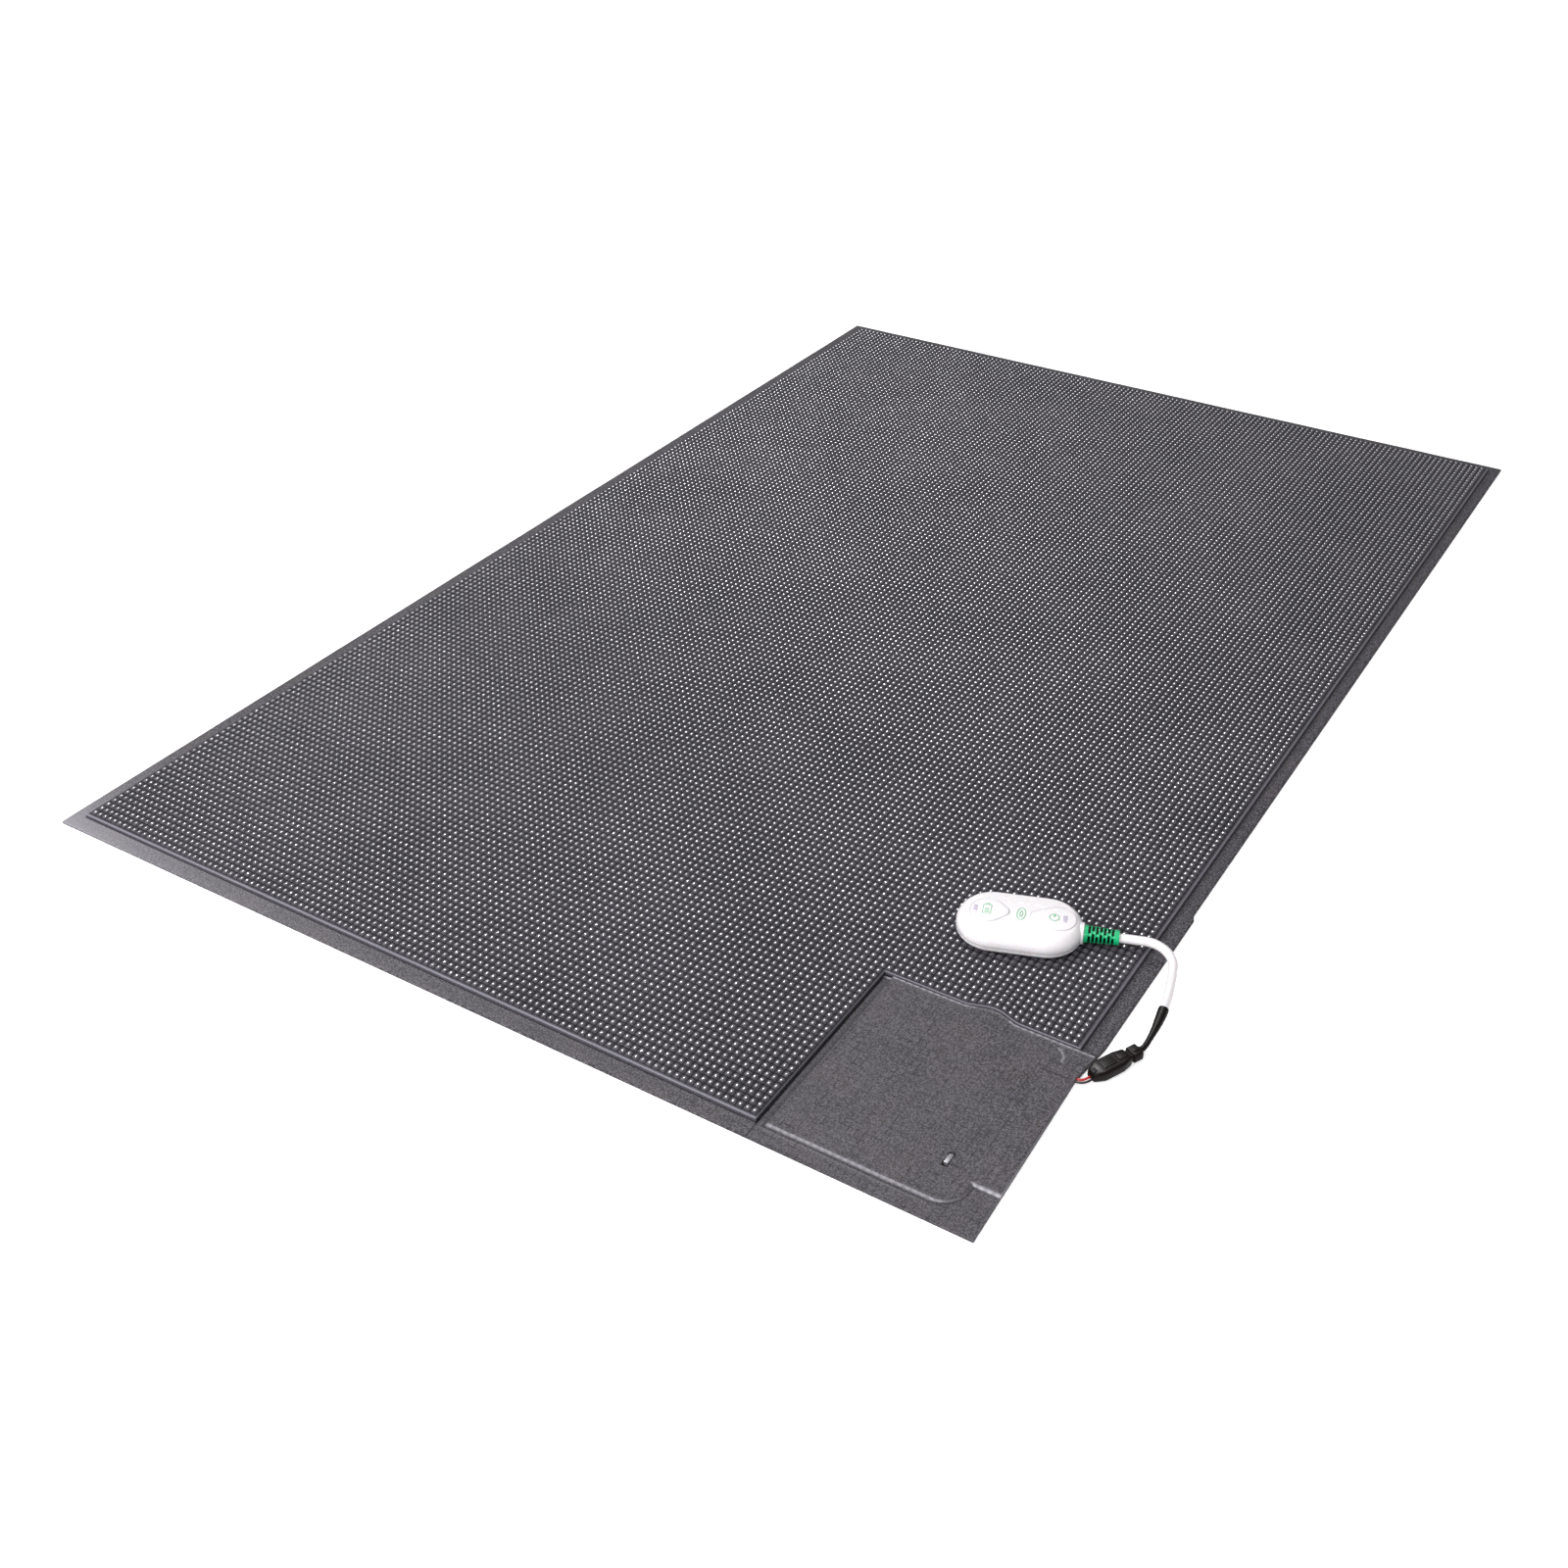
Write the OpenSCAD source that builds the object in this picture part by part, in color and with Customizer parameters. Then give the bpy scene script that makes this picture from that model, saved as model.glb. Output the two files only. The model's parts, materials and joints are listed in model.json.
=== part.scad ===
// Weight-sensing floor mat with a plug-in radio transmitter on a short cable.
// Frame: origin at the centre of the mat's underside, +Y along the mat, +Z up, millimetres.

/* [Mat] */
// Width of the mat, along X
mat_w = 610; // [560:1:700]
// Length of the mat, along Y
mat_l = 914; // [840:1:1000]
// Thickness of the bottom sheet
base_t = 0.8; // [0.6:0.1:1]
// Height of the welded rim above the floor
rim_z = 1.6; // [1.4:0.1:1.8]
// Width of the welded rim
rim_w = 9.6; // [8:0.1:11]
// Height of the raised tread above the floor, to the tips of its bumps
tread_z = 5.5; // [5.2:0.1:6]
// How far the tread gives when it is stepped on
press_travel = 0.7; // [0.3:0.1:0.8]
// How far the right edge steps in beyond the cable
edge_step = 1.7; // [0:0.1:3]
// How far the right edge is drawn in beside the plug
edge_waist = 3.4; // [0:0.1:3.6]

/* [Corner panel] */
// Size of the smooth corner panel along X
panel_w = 123.5; // [115:0.5:130]
// Size of the smooth corner panel along Y
panel_l = 133; // [128:0.5:140]
// Height of the panel's raised plate above the floor
panel_z = 3.3; // [3.1:0.1:3.6]
// Thickness of the panel's skin
skin_t = 0.8; // [0.6:0.1:0.9]
// Width of the shallow bay where the foil tails come through
bay_w = 30; // [26:1:34]
// Depth of that bay
bay_d = 4; // [3:0.5:5]

/* [Transmitter] */
// Length of the transmitter case
pod_l = 69; // [68:0.5:74]
// Width of the transmitter case
pod_w = 41; // [41:0.5:44]
// Height of the transmitter case
pod_h = 13.6; // [13.6:0.2:16]
// Wall thickness of the case
wall = 1.8; // [1.6:0.1:2]
// Distance of the case's centre from the mat's right edge
pod_from_side = 75.9; // [73:0.1:82]
// Distance of the case's centre from the mat's near edge
pod_from_end = 195.4; // [190:0.1:200]
// Angle of the case from the mat's X axis
pod_turn = 19.5; // [15:0.5:22]
// Height of the seam between the two shells
seam_w = 3.6; // [3.4:0.1:4.2]

/* [Cable] */
// Diameter of the white cable
cable_d = 5.1; // [4.5:0.1:5.3]
// Length of the ribbed strain relief
boot_l = 19; // [16:1:22]
// Number of ribs on the strain relief
rib_n = 6; // [4:1:7]
// Straight run of cable after the strain relief
lead_in = 13; // [11:0.5:14]
// Radius of the cable's main bend
bend_r = 16.5; // [15:0.5:18]
// Height of the plug's axis above the floor
plug_z = 3.5; // [3.4:0.1:4]

/* [Hidden] */
$fn = 48;
slack = 0.05;
over = 20;
joint_t = 0.1;
joint_swell = 1.02;
half_w = mat_w / 2;
half_l = mat_l / 2;

// Layers of the mat, from the floor up
foil_t = 0.2;
foam_t = 1.2;
foil_lo = base_t;
foam_lo = foil_lo + foil_t;
foil_hi = foam_lo + foam_t;
tread_lo = foil_hi + foil_t;
skirt_lo = base_t + press_travel + 0.25;
skirt_w = 2;
side_gap = 0.15;
layer_inset = 3;
window_nx = 8;
window_ny = 12;
foam_rib = 14;
step_y = -half_l + 259;
waist_y = -half_l + 114;
waist_top_y = -half_l + 143;

// Corner panel and what lies under it
panel_x = half_w - panel_w;
panel_y = -half_l + panel_l;
plate_in = 5;
plate_up = 10.5;
plate_r = 14;
plate_notch_x = half_w - 15;
plate_notch_y = -half_l + 28.5;
plate_edge_x = half_w - 0.5;
plate_side_in = 4;
bay_x = panel_x + 63.5;
bay_r = (pow(bay_w / 2, 2) + bay_d * bay_d) / (2 * bay_d);
tail_w = 9;
tail_lower_x = bay_x - 4;
tail_upper_x = bay_x + 6.5;
tail_lower_end = 19;
tail_upper_end = 12.5;
lead_r = 0.65;
lead_gap = 1;
lead_z = 1.75;
groove_z = 1.05;
tie_x = half_w - 32;
tie_y = -half_l + 35.5;
tie_span = 7;
tie_hole = [3.4, 2.6];
tie_w = 2.4;
tie_t = 1;

// Transmitter, measured from the centre of its flat underside
pod_x = half_w - pod_from_side;
pod_y = -half_l + pod_from_end;
pod_z = tread_z + 0.1;
pod_r = pod_w / 2;
pod_c = pod_l / 2 - pod_r;
foot_r = 4;
brow_r = 7.5;
crown_r = 150;
seal_t = 0.25;
seal_in = 0.4;
floor_t = 1.9;
door_w = 24;
door_end = 19;
door_gap = 0.1;
tongue_lo = 0.7;
tongue_t = 0.6;
tongue_w = 0.8;
grip_r = 1.2;
cell_r = 10;
cell_t = 3.2;
cell_u = -3;
cell_apart = 11;
cell_lo = floor_t + 0.4;
cell_hi = cell_lo + cell_t;
leaf_t = 0.4;
leaf_gap = 1.4;
bay_half = cell_apart + cell_r + leaf_gap;
disc_t = 1;
bay_wall_t = 1;
board_r = 12.4;
board_c = 16;
board_lo = cell_hi + disc_t + 2 * slack;
board_t = 1;
bay_wall_top = board_lo - 0.3;
board_hi = board_lo + board_t;
post_v = 10;
screw_u = 11;
screw_v = 15.3;
screw_head_r = 1.9;
screw_r = 0.99;
screw_l = 8.4;
pilot_r = 1;
light_u = 24.3;
light_size = [2.4, 5.6];
light_lo = board_hi + 1.4;

// Strain relief, cable and plug
cable_r = cable_d / 2;
cable_w = 5.4;
collar_l = 0.3;
collar_r = 6;
boot_u = pod_l / 2 + collar_l;
boot_r = 5;
boot_tip_r = 4.2;
boot_core = 0.78;
core_r = 0.55;
core_gap = 0.6;
jacket_in = 1.3;
jacket_run = boot_u + boot_l - pod_l / 2 + 2 * wall;
core_run = jacket_run + 4;
fall_r = 160;
hook_r = 14;
jacket_turn = 11.4;
sleeve_turn = 8.6;
hook_turn = 25;
sleeve_wall = 0.35;
cable_path = [[lead_in, 0], [bend_r, -90], [fall_r, -jacket_turn]];
sleeve_path = [[fall_r, -sleeve_turn], [hook_r, -hook_turn]];
jacket_end = walk([0, 0, 0], cable_path, len(cable_path));
sleeve_end = walk(jacket_end, sleeve_path, len(sleeve_path));
cable_fall = asin((pod_z + cable_w - plug_z) / -sleeve_end[1]);

plug_turn = pod_turn + sleeve_end[2];
plug_u = boot_u + boot_l + sleeve_end[0];
plug_v = sleeve_end[1] * cos(cable_fall);
plug_x = pod_x + plug_u * cos(pod_turn) - plug_v * sin(pod_turn);
plug_y = pod_y + plug_u * sin(pod_turn) + plug_v * cos(pod_turn);
head_l = 6;
head_w = 7.8;
head_h = 5.6;
neck_l = 3;
neck_w = 6;
neck_h = 4;
plug_gap = 0.25;
tongue_l = 11.5;
plug_tongue_w = 6.8;
plug_tongue_h = 4.2;
pin_gap = 1.27;
pin_r = 0.45;
pin_l = 8;
barrel_r = 0.8;
socket_lo = 8;
socket_hi = 31;
socket_w = 10.8;
socket_nose_w = 7.9;
socket_tail_w = 6.4;
socket_taper = 5;
socket_h = 6.4;

// Leads from the socket, round under the panel and back to the foil tails
lead_start = 28;
lead_pose = [plug_x + lead_start * cos(plug_turn), plug_y + lead_start * sin(plug_turn), plug_turn];
lead_bend = 5;
lead_turn = plug_turn + 180;
lead_out = walk(lead_pose, [[socket_hi - lead_start + 2.5, 0], [lead_bend, -lead_turn]], 2);
loop_r = 10;
loop_y = tie_y + loop_r;
drop_r = 6;
rise_r = 4;
rise_y = panel_y - 18;
red_x = tail_upper_x + tail_w / 2 + 1;
black_x = tail_lower_x + 3;

// Socket, under the panel's edge, down to the strap, round it and back up to the tails
function lead_path(end_x) = [
  [socket_hi - lead_start + 2.5, 0],
  [lead_bend, -lead_turn],
  [lead_out[0] - tie_x - loop_r - drop_r, 0],
  [drop_r, 90],
  [lead_out[1] - drop_r - loop_y, 0],
  [loop_r, -180],
  [rise_y - loop_y, 0],
  [rise_r, 90],
  [tie_x - loop_r - rise_r - end_x, 0]
];

// A path is a list of [length, 0] for a straight run and [radius, turn] for a bend, left positive.
// A pose is [x, y, heading].
function step(pose, leg) =
  leg[1] == 0
    ? [pose[0] + leg[0] * cos(pose[2]), pose[1] + leg[0] * sin(pose[2]), pose[2]]
    : let (side = sign(leg[1]), end = pose[2] + leg[1])
      [
        pose[0] + side * leg[0] * (sin(end) - sin(pose[2])),
        pose[1] + side * leg[0] * (cos(pose[2]) - cos(end)),
        end
      ];
function walk(pose, path, n) = n == 0 ? pose : step(walk(pose, path, n - 1), path[n - 1]);
function beside(pose, d) = [pose[0] + d * sin(pose[2]), pose[1] - d * cos(pose[2]), pose[2]];
function beside_path(path, d) = [for (leg = path) [leg[0] + d * sign(leg[1]), leg[1]]];
// The same path, started a run further back on its first straight leg
function from_inside(path, run) =
  [for (i = [0 : len(path) - 1]) i == 0 ? [path[0][0] + run, 0] : path[i]];

// Sweeps a symmetric 2-D profile along a path, with a thin disc to close each joint between legs
module sweep(pose, path) {
  for (i = [0 : len(path) - 1]) {
    at = walk(pose, path, i);
    leg = path[i];
    if (i > 0)
      translate([at[0], at[1], 0])
        rotate([90, 0, 90 + at[2]])
          linear_extrude(joint_t, center = true)
            scale(joint_swell)
              children();
    if (leg[1] == 0)
      translate([at[0], at[1], 0])
        rotate([90, 0, 90 + at[2]])
          linear_extrude(leg[0])
            children();
    else {
      side = sign(leg[1]);
      centre = [at[0] - side * leg[0] * sin(at[2]), at[1] + side * leg[0] * cos(at[2])];
      translate([centre[0], centre[1], 0])
        rotate(side > 0 ? at[2] - 90 : at[2] + 90 + leg[1])
          rotate_extrude(angle = abs(leg[1]))
            translate([leg[0], 0])
              children();
    }
  }
}

module slab(x0, x1, y0, y1, z0, z1) {
  translate([x0, y0, z0]) cube([x1 - x0, y1 - y0, z1 - z0]);
}

module block(size, z0) {
  translate([-size[0] / 2, -size[1] / 2, z0]) cube(size);
}

// ---- Mat ----

// Outline of the whole mat: its right edge has a small step, and is drawn in beside the plug
module mat_outline() {
  difference() {
    square([mat_w, mat_l], center = true);
    translate([half_w - edge_step, step_y]) square([edge_step + 1, mat_l]);
    polygon([
      [half_w, -half_l],
      [half_w + 1, -half_l],
      [half_w + 1, waist_top_y],
      [half_w, waist_top_y],
      [half_w - edge_waist, waist_y]
    ]);
  }
}

// The tread's outline: the mat less its rim and the corner, with the bay for the tails
module tread_outline(inset = 0) {
  difference() {
    square([mat_w - 2 * (rim_w + inset), mat_l - 2 * (rim_w + inset)], center = true);
    translate([panel_x - inset, -half_l]) square([panel_w + over, panel_l + inset]);
    translate([bay_x, panel_y + bay_d - bay_r]) circle(bay_r + inset);
  }
}

module base_sheet() {
  color("dimgray") linear_extrude(base_t) mat_outline();
}

module lower_electrode() {
  color("silver") translate([0, 0, foil_lo]) linear_extrude(foil_t) tread_outline(layer_inset);
}

module upper_electrode() {
  color("silver") translate([0, 0, foil_hi]) linear_extrude(foil_t) tread_outline(layer_inset);
}

// Open foam grid that holds the two foils apart
module spacer_foam() {
  pitch_x = (mat_w - 2 * (rim_w + layer_inset) - foam_rib) / window_nx;
  pitch_y = (mat_l - 2 * (rim_w + layer_inset) - foam_rib) / window_ny;
  size = [pitch_x - foam_rib, pitch_y - foam_rib];
  color("gainsboro")
    translate([0, 0, foam_lo])
      linear_extrude(foam_t)
        difference() {
          tread_outline(layer_inset);
          for (i = [0 : window_nx - 1])
            for (j = [0 : window_ny - 1]) {
              x = (i - (window_nx - 1) / 2) * pitch_x;
              y = (j - (window_ny - 1) / 2) * pitch_y;
              if (x < panel_x - pitch_x / 2 || y > panel_y + pitch_y / 2)
                translate([x, y]) square(size, center = true);
            }
        }
}

// Raised tread, with a skirt down to the rim along the mat's outer sides
module cover_field() {
  color("dimgray") {
    translate([0, 0, tread_lo]) linear_extrude(tread_z - tread_lo) tread_outline();
    translate([0, 0, skirt_lo])
      linear_extrude(tread_lo - skirt_lo)
        difference() {
          tread_outline();
          square([mat_w - 2 * (rim_w + skirt_w), mat_l - 2 * (rim_w + skirt_w)], center = true);
          translate([panel_x - layer_inset, -half_l]) square([mat_w, panel_l + layer_inset]);
        }
  }
}

module cover_rim() {
  opening = [mat_w - 2 * (rim_w - side_gap), mat_l - 2 * (rim_w - side_gap)];
  color("gray")
    translate([0, 0, base_t])
      linear_extrude(rim_z - base_t)
        difference() {
          mat_outline();
          square(opening, center = true);
          translate([panel_x, -half_l - 1]) square([mat_w, panel_l + 1]);
        }
}

// Outline of the raised plate: square at three corners, a round and a notch at the fourth.
// Its side along the mat's edge can be held back further than the rest.
module plate_outline(inset = 0, side_in = 0) {
  lo = -half_l + plate_up + inset;
  hi = panel_y - inset;
  r = plate_r - inset;
  right = plate_notch_x - inset;
  difference() {
    translate([panel_x + plate_in + inset, lo])
      square([right - panel_x - plate_in - inset, hi - lo]);
    translate([right - r, lo - 1]) square([r + 1, r + 1]);
  }
  translate([right - r, lo + r]) circle(r);
  translate([right - r, plate_notch_y + inset])
    square([plate_edge_x - side_in - inset - right + r, hi - plate_notch_y - inset]);
}

module tie_holes(size) {
  for (side = [-1, 1])
    translate([tie_x, tie_y + side * tie_span / 2]) square(size, center = true);
}

// Groove for the two leads, with a pocket right through for the tails
module lead_run(z0, z1) {
  channel = 2 * (lead_gap + lead_r) + 0.6;
  translate([0, 0, (z0 + z1) / 2])
    sweep(lead_pose, lead_path(black_x))
      square([channel, z1 - z0], center = true);
  slab(tail_lower_x - tail_w / 2 - 1, red_x + 3, panel_y - tail_lower_end - 3, panel_y + 1, 0, z1);
}

// Stiffener that fills the raised part of the corner panel
module corner_plate() {
  color("black")
    difference() {
      translate([0, 0, base_t])
        linear_extrude(panel_z - skin_t - base_t)
          difference() {
            plate_outline(skin_t, plate_side_in);
            tie_holes(tie_hole);
          }
      lead_run(groove_z, panel_z);
    }
}

// Smooth skin over the corner: flat at the rim, raised over the plate
module corner_panel() {
  color("gray")
    difference() {
      translate([0, 0, base_t]) {
        linear_extrude(rim_z - base_t)
          intersection() {
            mat_outline();
            translate([panel_x, -half_l]) square([panel_w, panel_l]);
          }
        linear_extrude(panel_z - base_t)
          intersection() {
            mat_outline();
            plate_outline();
          }
      }
      translate([0, 0, base_t - 1])
        linear_extrude(panel_z - skin_t - base_t + 1)
          plate_outline(skin_t, plate_side_in);
      translate([0, 0, base_t]) linear_extrude(panel_z) tie_holes(tie_hole);
      lead_run(0, panel_z - skin_t);
    }
}

// Copper strips that bring the two foils out under the panel
module foil_tails() {
  edge = panel_y - layer_inset + 3 - 0.2;
  color("peru") {
    slab(
      tail_lower_x - tail_w / 2, tail_lower_x + tail_w / 2,
      panel_y - tail_lower_end, edge,
      foil_lo, foil_lo + foil_t
    );
    slab(
      tail_upper_x - tail_w / 2, tail_upper_x + tail_w / 2,
      panel_y - tail_upper_end, edge,
      foil_hi, foil_hi + foil_t
    );
  }
}

// Crimped lug on a lead's end, its tongue lying on a tail
module lug(x, y, tongue_z) {
  barrel_l = 1.8;
  tongue = [4, 2.4, foil_t];
  barrel_out = lead_r + 0.08;
  translate([x, y, lead_z])
    rotate([0, 90, 0])
      difference() {
        cylinder(h = barrel_l, r = barrel_out);
        translate([0, 0, -1]) cylinder(h = barrel_l + 2, r = lead_r);
      }
  translate([x - tongue[0] + slack, y - tongue[1] / 2, tongue_z]) cube(tongue);
  slab(x - foil_t, x + slack, y - 0.6, y + 0.6, min(tongue_z, lead_z - 0.7), max(tongue_z, lead_z + 0.7));
}

module lead_terminals() {
  black_y = rise_y + rise_r - lead_gap;
  red_y = rise_y + rise_r + lead_gap;
  color("tan") {
    lug(black_x, black_y, foil_lo + foil_t);
    lug(red_x, red_y, foil_hi - foil_t);
  }
}

module lead(d, end_x) {
  translate([0, 0, lead_z])
    sweep(beside(lead_pose, d), beside_path(lead_path(end_x + slack), d))
      circle(lead_r);
}

module lead_red() {
  color("red") lead(lead_gap, red_x);
}

module lead_black() {
  color("black") lead(-lead_gap, black_x);
}

// Strap over the leads, its legs down through the two holes in the panel
module lead_tie() {
  color("gray")
    translate([tie_x, tie_y, 0]) {
      block([tie_w, tie_span + tie_t, 0.5], panel_z);
      for (side = [-1, 1])
        translate([0, side * tie_span / 2, 0])
          block([tie_w, tie_t, panel_z - base_t - slack], base_t + slack);
    }
}

// ---- Plug and socket, X along their axis towards the mat ----

module at_plug() {
  translate([plug_x, plug_y, plug_z]) rotate(plug_turn) children();
}

// A box from x0 to x1, centred on the plug's axis
module bar(x0, x1, w, h) {
  translate([x0, -w / 2, -h / 2]) cube([x1 - x0, w, h]);
}

module pair() {
  for (side = [-1, 1])
    translate([0, side * pin_gap, 0]) children();
}

module along_x(x0, x1, r) {
  translate([x0, 0, 0]) rotate([0, 90, 0]) cylinder(h = x1 - x0, r = r);
}

module socket_housing() {
  cavity_end = head_l + neck_l + tongue_l + 0.5;
  lead_drop = lead_z - plug_z;
  color("#1c1815")
    at_plug()
      difference() {
        translate([0, 0, -socket_h / 2])
          linear_extrude(socket_h)
            polygon([
              [socket_lo, -socket_nose_w / 2],
              [socket_lo + socket_taper, -socket_w / 2],
              [socket_hi - socket_taper, -socket_w / 2],
              [socket_hi, -socket_tail_w / 2],
              [socket_hi, socket_tail_w / 2],
              [socket_hi - socket_taper, socket_w / 2],
              [socket_lo + socket_taper, socket_w / 2],
              [socket_lo, socket_nose_w / 2]
            ]);
        bar(socket_lo - 1, cavity_end, plug_tongue_w + 2 * slack, plug_tongue_h + 2 * slack);
        pair() along_x(cavity_end - 1, lead_start, barrel_r);
        for (side = [-1, 1])
          translate([0, side * lead_gap, lead_drop]) along_x(lead_start, socket_hi + 1, lead_r);
      }
}

module socket_pins() {
  cavity_end = head_l + neck_l + tongue_l + 0.5;
  color("gold")
    at_plug()
      pair() {
        along_x(cavity_end - pin_l, cavity_end + 1, pin_r);
        along_x(cavity_end, lead_start - slack, barrel_r - slack);
      }
}

// The transmitter's half of the connector: head, neck, tongue and a latch on top
module plug_housing() {
  neck_end = head_l + neck_l;
  latch_w = 3;
  latch_h = 0.5;
  color("#1c1815")
    at_plug()
      difference() {
        union() {
          bar(plug_gap, head_l, head_w, head_h);
          bar(head_l - 0.5, neck_end, neck_w, neck_h);
          bar(neck_end - 0.5, neck_end + tongue_l, plug_tongue_w, plug_tongue_h);
          translate([0, 0, head_h / 2]) bar(1, head_l - 1, latch_w, 2 * latch_h);
        }
        pair() along_x(1, neck_end + tongue_l + 1, barrel_r + slack);
      }
}

module plug_contacts() {
  tip = head_l + neck_l + tongue_l - 0.5;
  color("gold")
    at_plug()
      pair()
        difference() {
          along_x(1.5, tip, barrel_r);
          along_x(tip - pin_l - 1, tip + 1, pin_r + slack);
        }
}

// ---- Transmitter, X along the case towards the cable ----

module at_pod() {
  translate([pod_x, pod_y, pod_z]) rotate(pod_turn) children();
}

// Half of the case's cross-section: small round at the foot, large round at the brow
module pod_section(inset) {
  r = pod_r - inset;
  lo = inset;
  hi = pod_h - inset;
  foot = foot_r - inset;
  brow = brow_r - inset;
  intersection() {
    union() {
      translate([0, lo]) square([r - brow, hi - lo]);
      translate([0, lo]) square([r - foot, hi - brow - lo]);
      translate([0, lo + foot]) square([r, hi - brow - lo - foot]);
      translate([r - foot, lo + foot]) circle(foot);
      translate([r - brow, hi - brow]) circle(brow);
    }
    translate([0, pod_h - crown_r]) circle(crown_r - inset, $fn = 200);
    translate([0, lo]) square([r, hi - lo]);
  }
}

// The case's outer form, or its inside when inset by the wall
module pod_form(inset = 0) {
  for (side = [0, 180])
    rotate(side)
      translate([pod_c, 0, 0])
        rotate(-90)
          rotate_extrude(angle = 180)
            pod_section(inset);
  rotate([90, 0, 90])
    translate([0, 0, -pod_c])
      linear_extrude(2 * pod_c) {
        pod_section(inset);
        mirror([1, 0]) pod_section(inset);
      }
}

// The form between two heights
module pod_slice(inset, w0, w1) {
  intersection() {
    pod_form(inset);
    block([pod_l + over, pod_w + over, w1 - w0], w0);
  }
}

module stadium(c, r, w0, w1) {
  translate([0, 0, w0])
    linear_extrude(w1 - w0) {
      square([2 * c, 2 * r], center = true);
      for (side = [-1, 1])
        translate([side * c, 0]) circle(r);
    }
}

module at_screws() {
  for (x = [-screw_u, screw_u])
    for (y = [-screw_v, screw_v])
      translate([x, y, 0]) children();
}

// Collar round the strain relief, shared by both shells
module collar(w0, w1) {
  intersection() {
    translate([0, 0, cable_w]) along_x(pod_l / 2 - wall, boot_u, collar_r);
    block([2 * boot_u, pod_w, w1 - w0], w0);
  }
}

module cable_hole() {
  translate([0, 0, cable_w]) along_x(pod_l / 2 - 2 * wall, boot_u + 1, cable_r + slack);
}

// What the battery door takes out of the bottom shell, grown by a gap
module door_space(gap) {
  half = door_w / 2 + gap;
  slab(-pod_l, door_end + gap, -half, half, -1, floor_t + gap / 2);
  slab(
    -pod_l, door_end + gap,
    -half - tongue_w, half + tongue_w,
    tongue_lo - gap / 2, tongue_lo + tongue_t + gap / 2
  );
}

// Cross wall at one end of the cells
module bay_wall(x, inset, top) {
  intersection() {
    pod_slice(inset, 0, pod_h);
    slab(x, x + bay_wall_t, -pod_r, pod_r, floor_t, top);
  }
}

module pod_bottom() {
  color("white")
    at_pod()
      difference() {
        union() {
          difference() {
            pod_slice(0, 0, seam_w);
            pod_slice(wall, floor_t, pod_h);
          }
          intersection() {
            pod_slice(0.5, 0, seam_w);
            at_screws() cylinder(h = seam_w, r = 2.6);
          }
          bay_wall(cell_u - bay_half - bay_wall_t, 1, seam_w);
          bay_wall(cell_u + bay_half, 1, seam_w);
          bay_wall(cell_u + bay_half, wall + 0.2, bay_wall_top);
          collar(0.2, seam_w);
        }
        door_space(door_gap);
        at_screws() translate([0, 0, -1]) cylinder(h = 2.8, r = screw_head_r + 0.15);
        at_screws() cylinder(h = pod_h, r = screw_r + 0.15);
        cable_hole();
      }
}

module pod_top() {
  low = seam_w + seal_t;
  color("white")
    at_pod()
      difference() {
        union() {
          difference() {
            pod_slice(0, low, pod_h);
            pod_slice(wall, 0, pod_h);
          }
          intersection() {
            pod_slice(0.5, low, pod_h);
            at_screws() cylinder(h = pod_h, r = 2.4);
          }
          intersection() {
            pod_slice(0.5, board_hi, pod_h);
            for (side = [-1, 1])
              translate([0, side * post_v, 0]) cylinder(h = pod_h, r = 1.5);
          }
          for (side = [-1, 1])
            translate([0, side * post_v, board_lo - 0.3]) cylinder(h = board_t + 0.6, r = 0.8);
          collar(low, cable_w + collar_r);
        }
        at_screws() cylinder(h = screw_l + 1.6, r = pilot_r);
        cable_hole();
        for (side = [-1, 1])
          translate([side * light_u, 0, 0])
            block([light_size[0] + 2 * slack, light_size[1] + 2 * slack, pod_h], board_hi);
      }
}

module pod_seal() {
  color("gainsboro")
    at_pod()
      difference() {
        pod_slice(seal_in, seam_w, seam_w + seal_t);
        pod_slice(wall, 0, pod_h);
        at_screws() cylinder(h = pod_h, r = screw_r + 0.15);
        cable_hole();
      }
}

// Slides off towards the case's free end, its tongues running in the bottom shell
module battery_door() {
  half = door_w / 2;
  color("white")
    at_pod()
      difference() {
        intersection() {
          pod_slice(0, 0, floor_t);
          union() {
            slab(-pod_l, door_end, -half, half, 0, floor_t);
            slab(
              -pod_l, door_end,
              -half - tongue_w, half + tongue_w,
              tongue_lo, tongue_lo + tongue_t
            );
          }
        }
        for (i = [0 : 3])
          translate([-pod_c - 3 * i, 0, -grip_r + 0.4])
            rotate([90, 0, 0])
              cylinder(h = half, r = grip_r, center = true);
      }
}

module at_cells() {
  for (side = [-1, 1])
    translate([cell_u + side * cell_apart, 0, cell_lo])
      rotate(side > 0 ? 0 : 180)
        children();
}

// Two coin cells side by side, each with a smaller cap on its upper face
module batteries() {
  cap_t = 0.6;
  color("silver")
    at_pod()
      at_cells() {
        cylinder(h = cell_t - cap_t, r = cell_r);
        cylinder(h = cell_t, r = cell_r - 1.1);
      }
}

// Sprung leaves at the cells' rims, their fingers on the cans
module battery_springs() {
  leaf_z = cell_t / 2;
  color("silver")
    at_pod()
      at_cells()
        translate([cell_r, 0, leaf_z]) {
          bar(leaf_gap - leaf_t - slack, leaf_gap - slack, 8, 2.4);
          bar(slack, leaf_gap - leaf_t, 1.6, 1.2);
        }
}

// Contact discs between the cells' caps and the board
module battery_plates() {
  color("gold")
    at_pod()
      at_cells()
        translate([0, 0, cell_t + slack])
          difference() {
            cylinder(h = disc_t, r = 3.2);
            translate([0, 0, -1]) cylinder(h = disc_t + 2, r = 1.2);
          }
}

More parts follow.
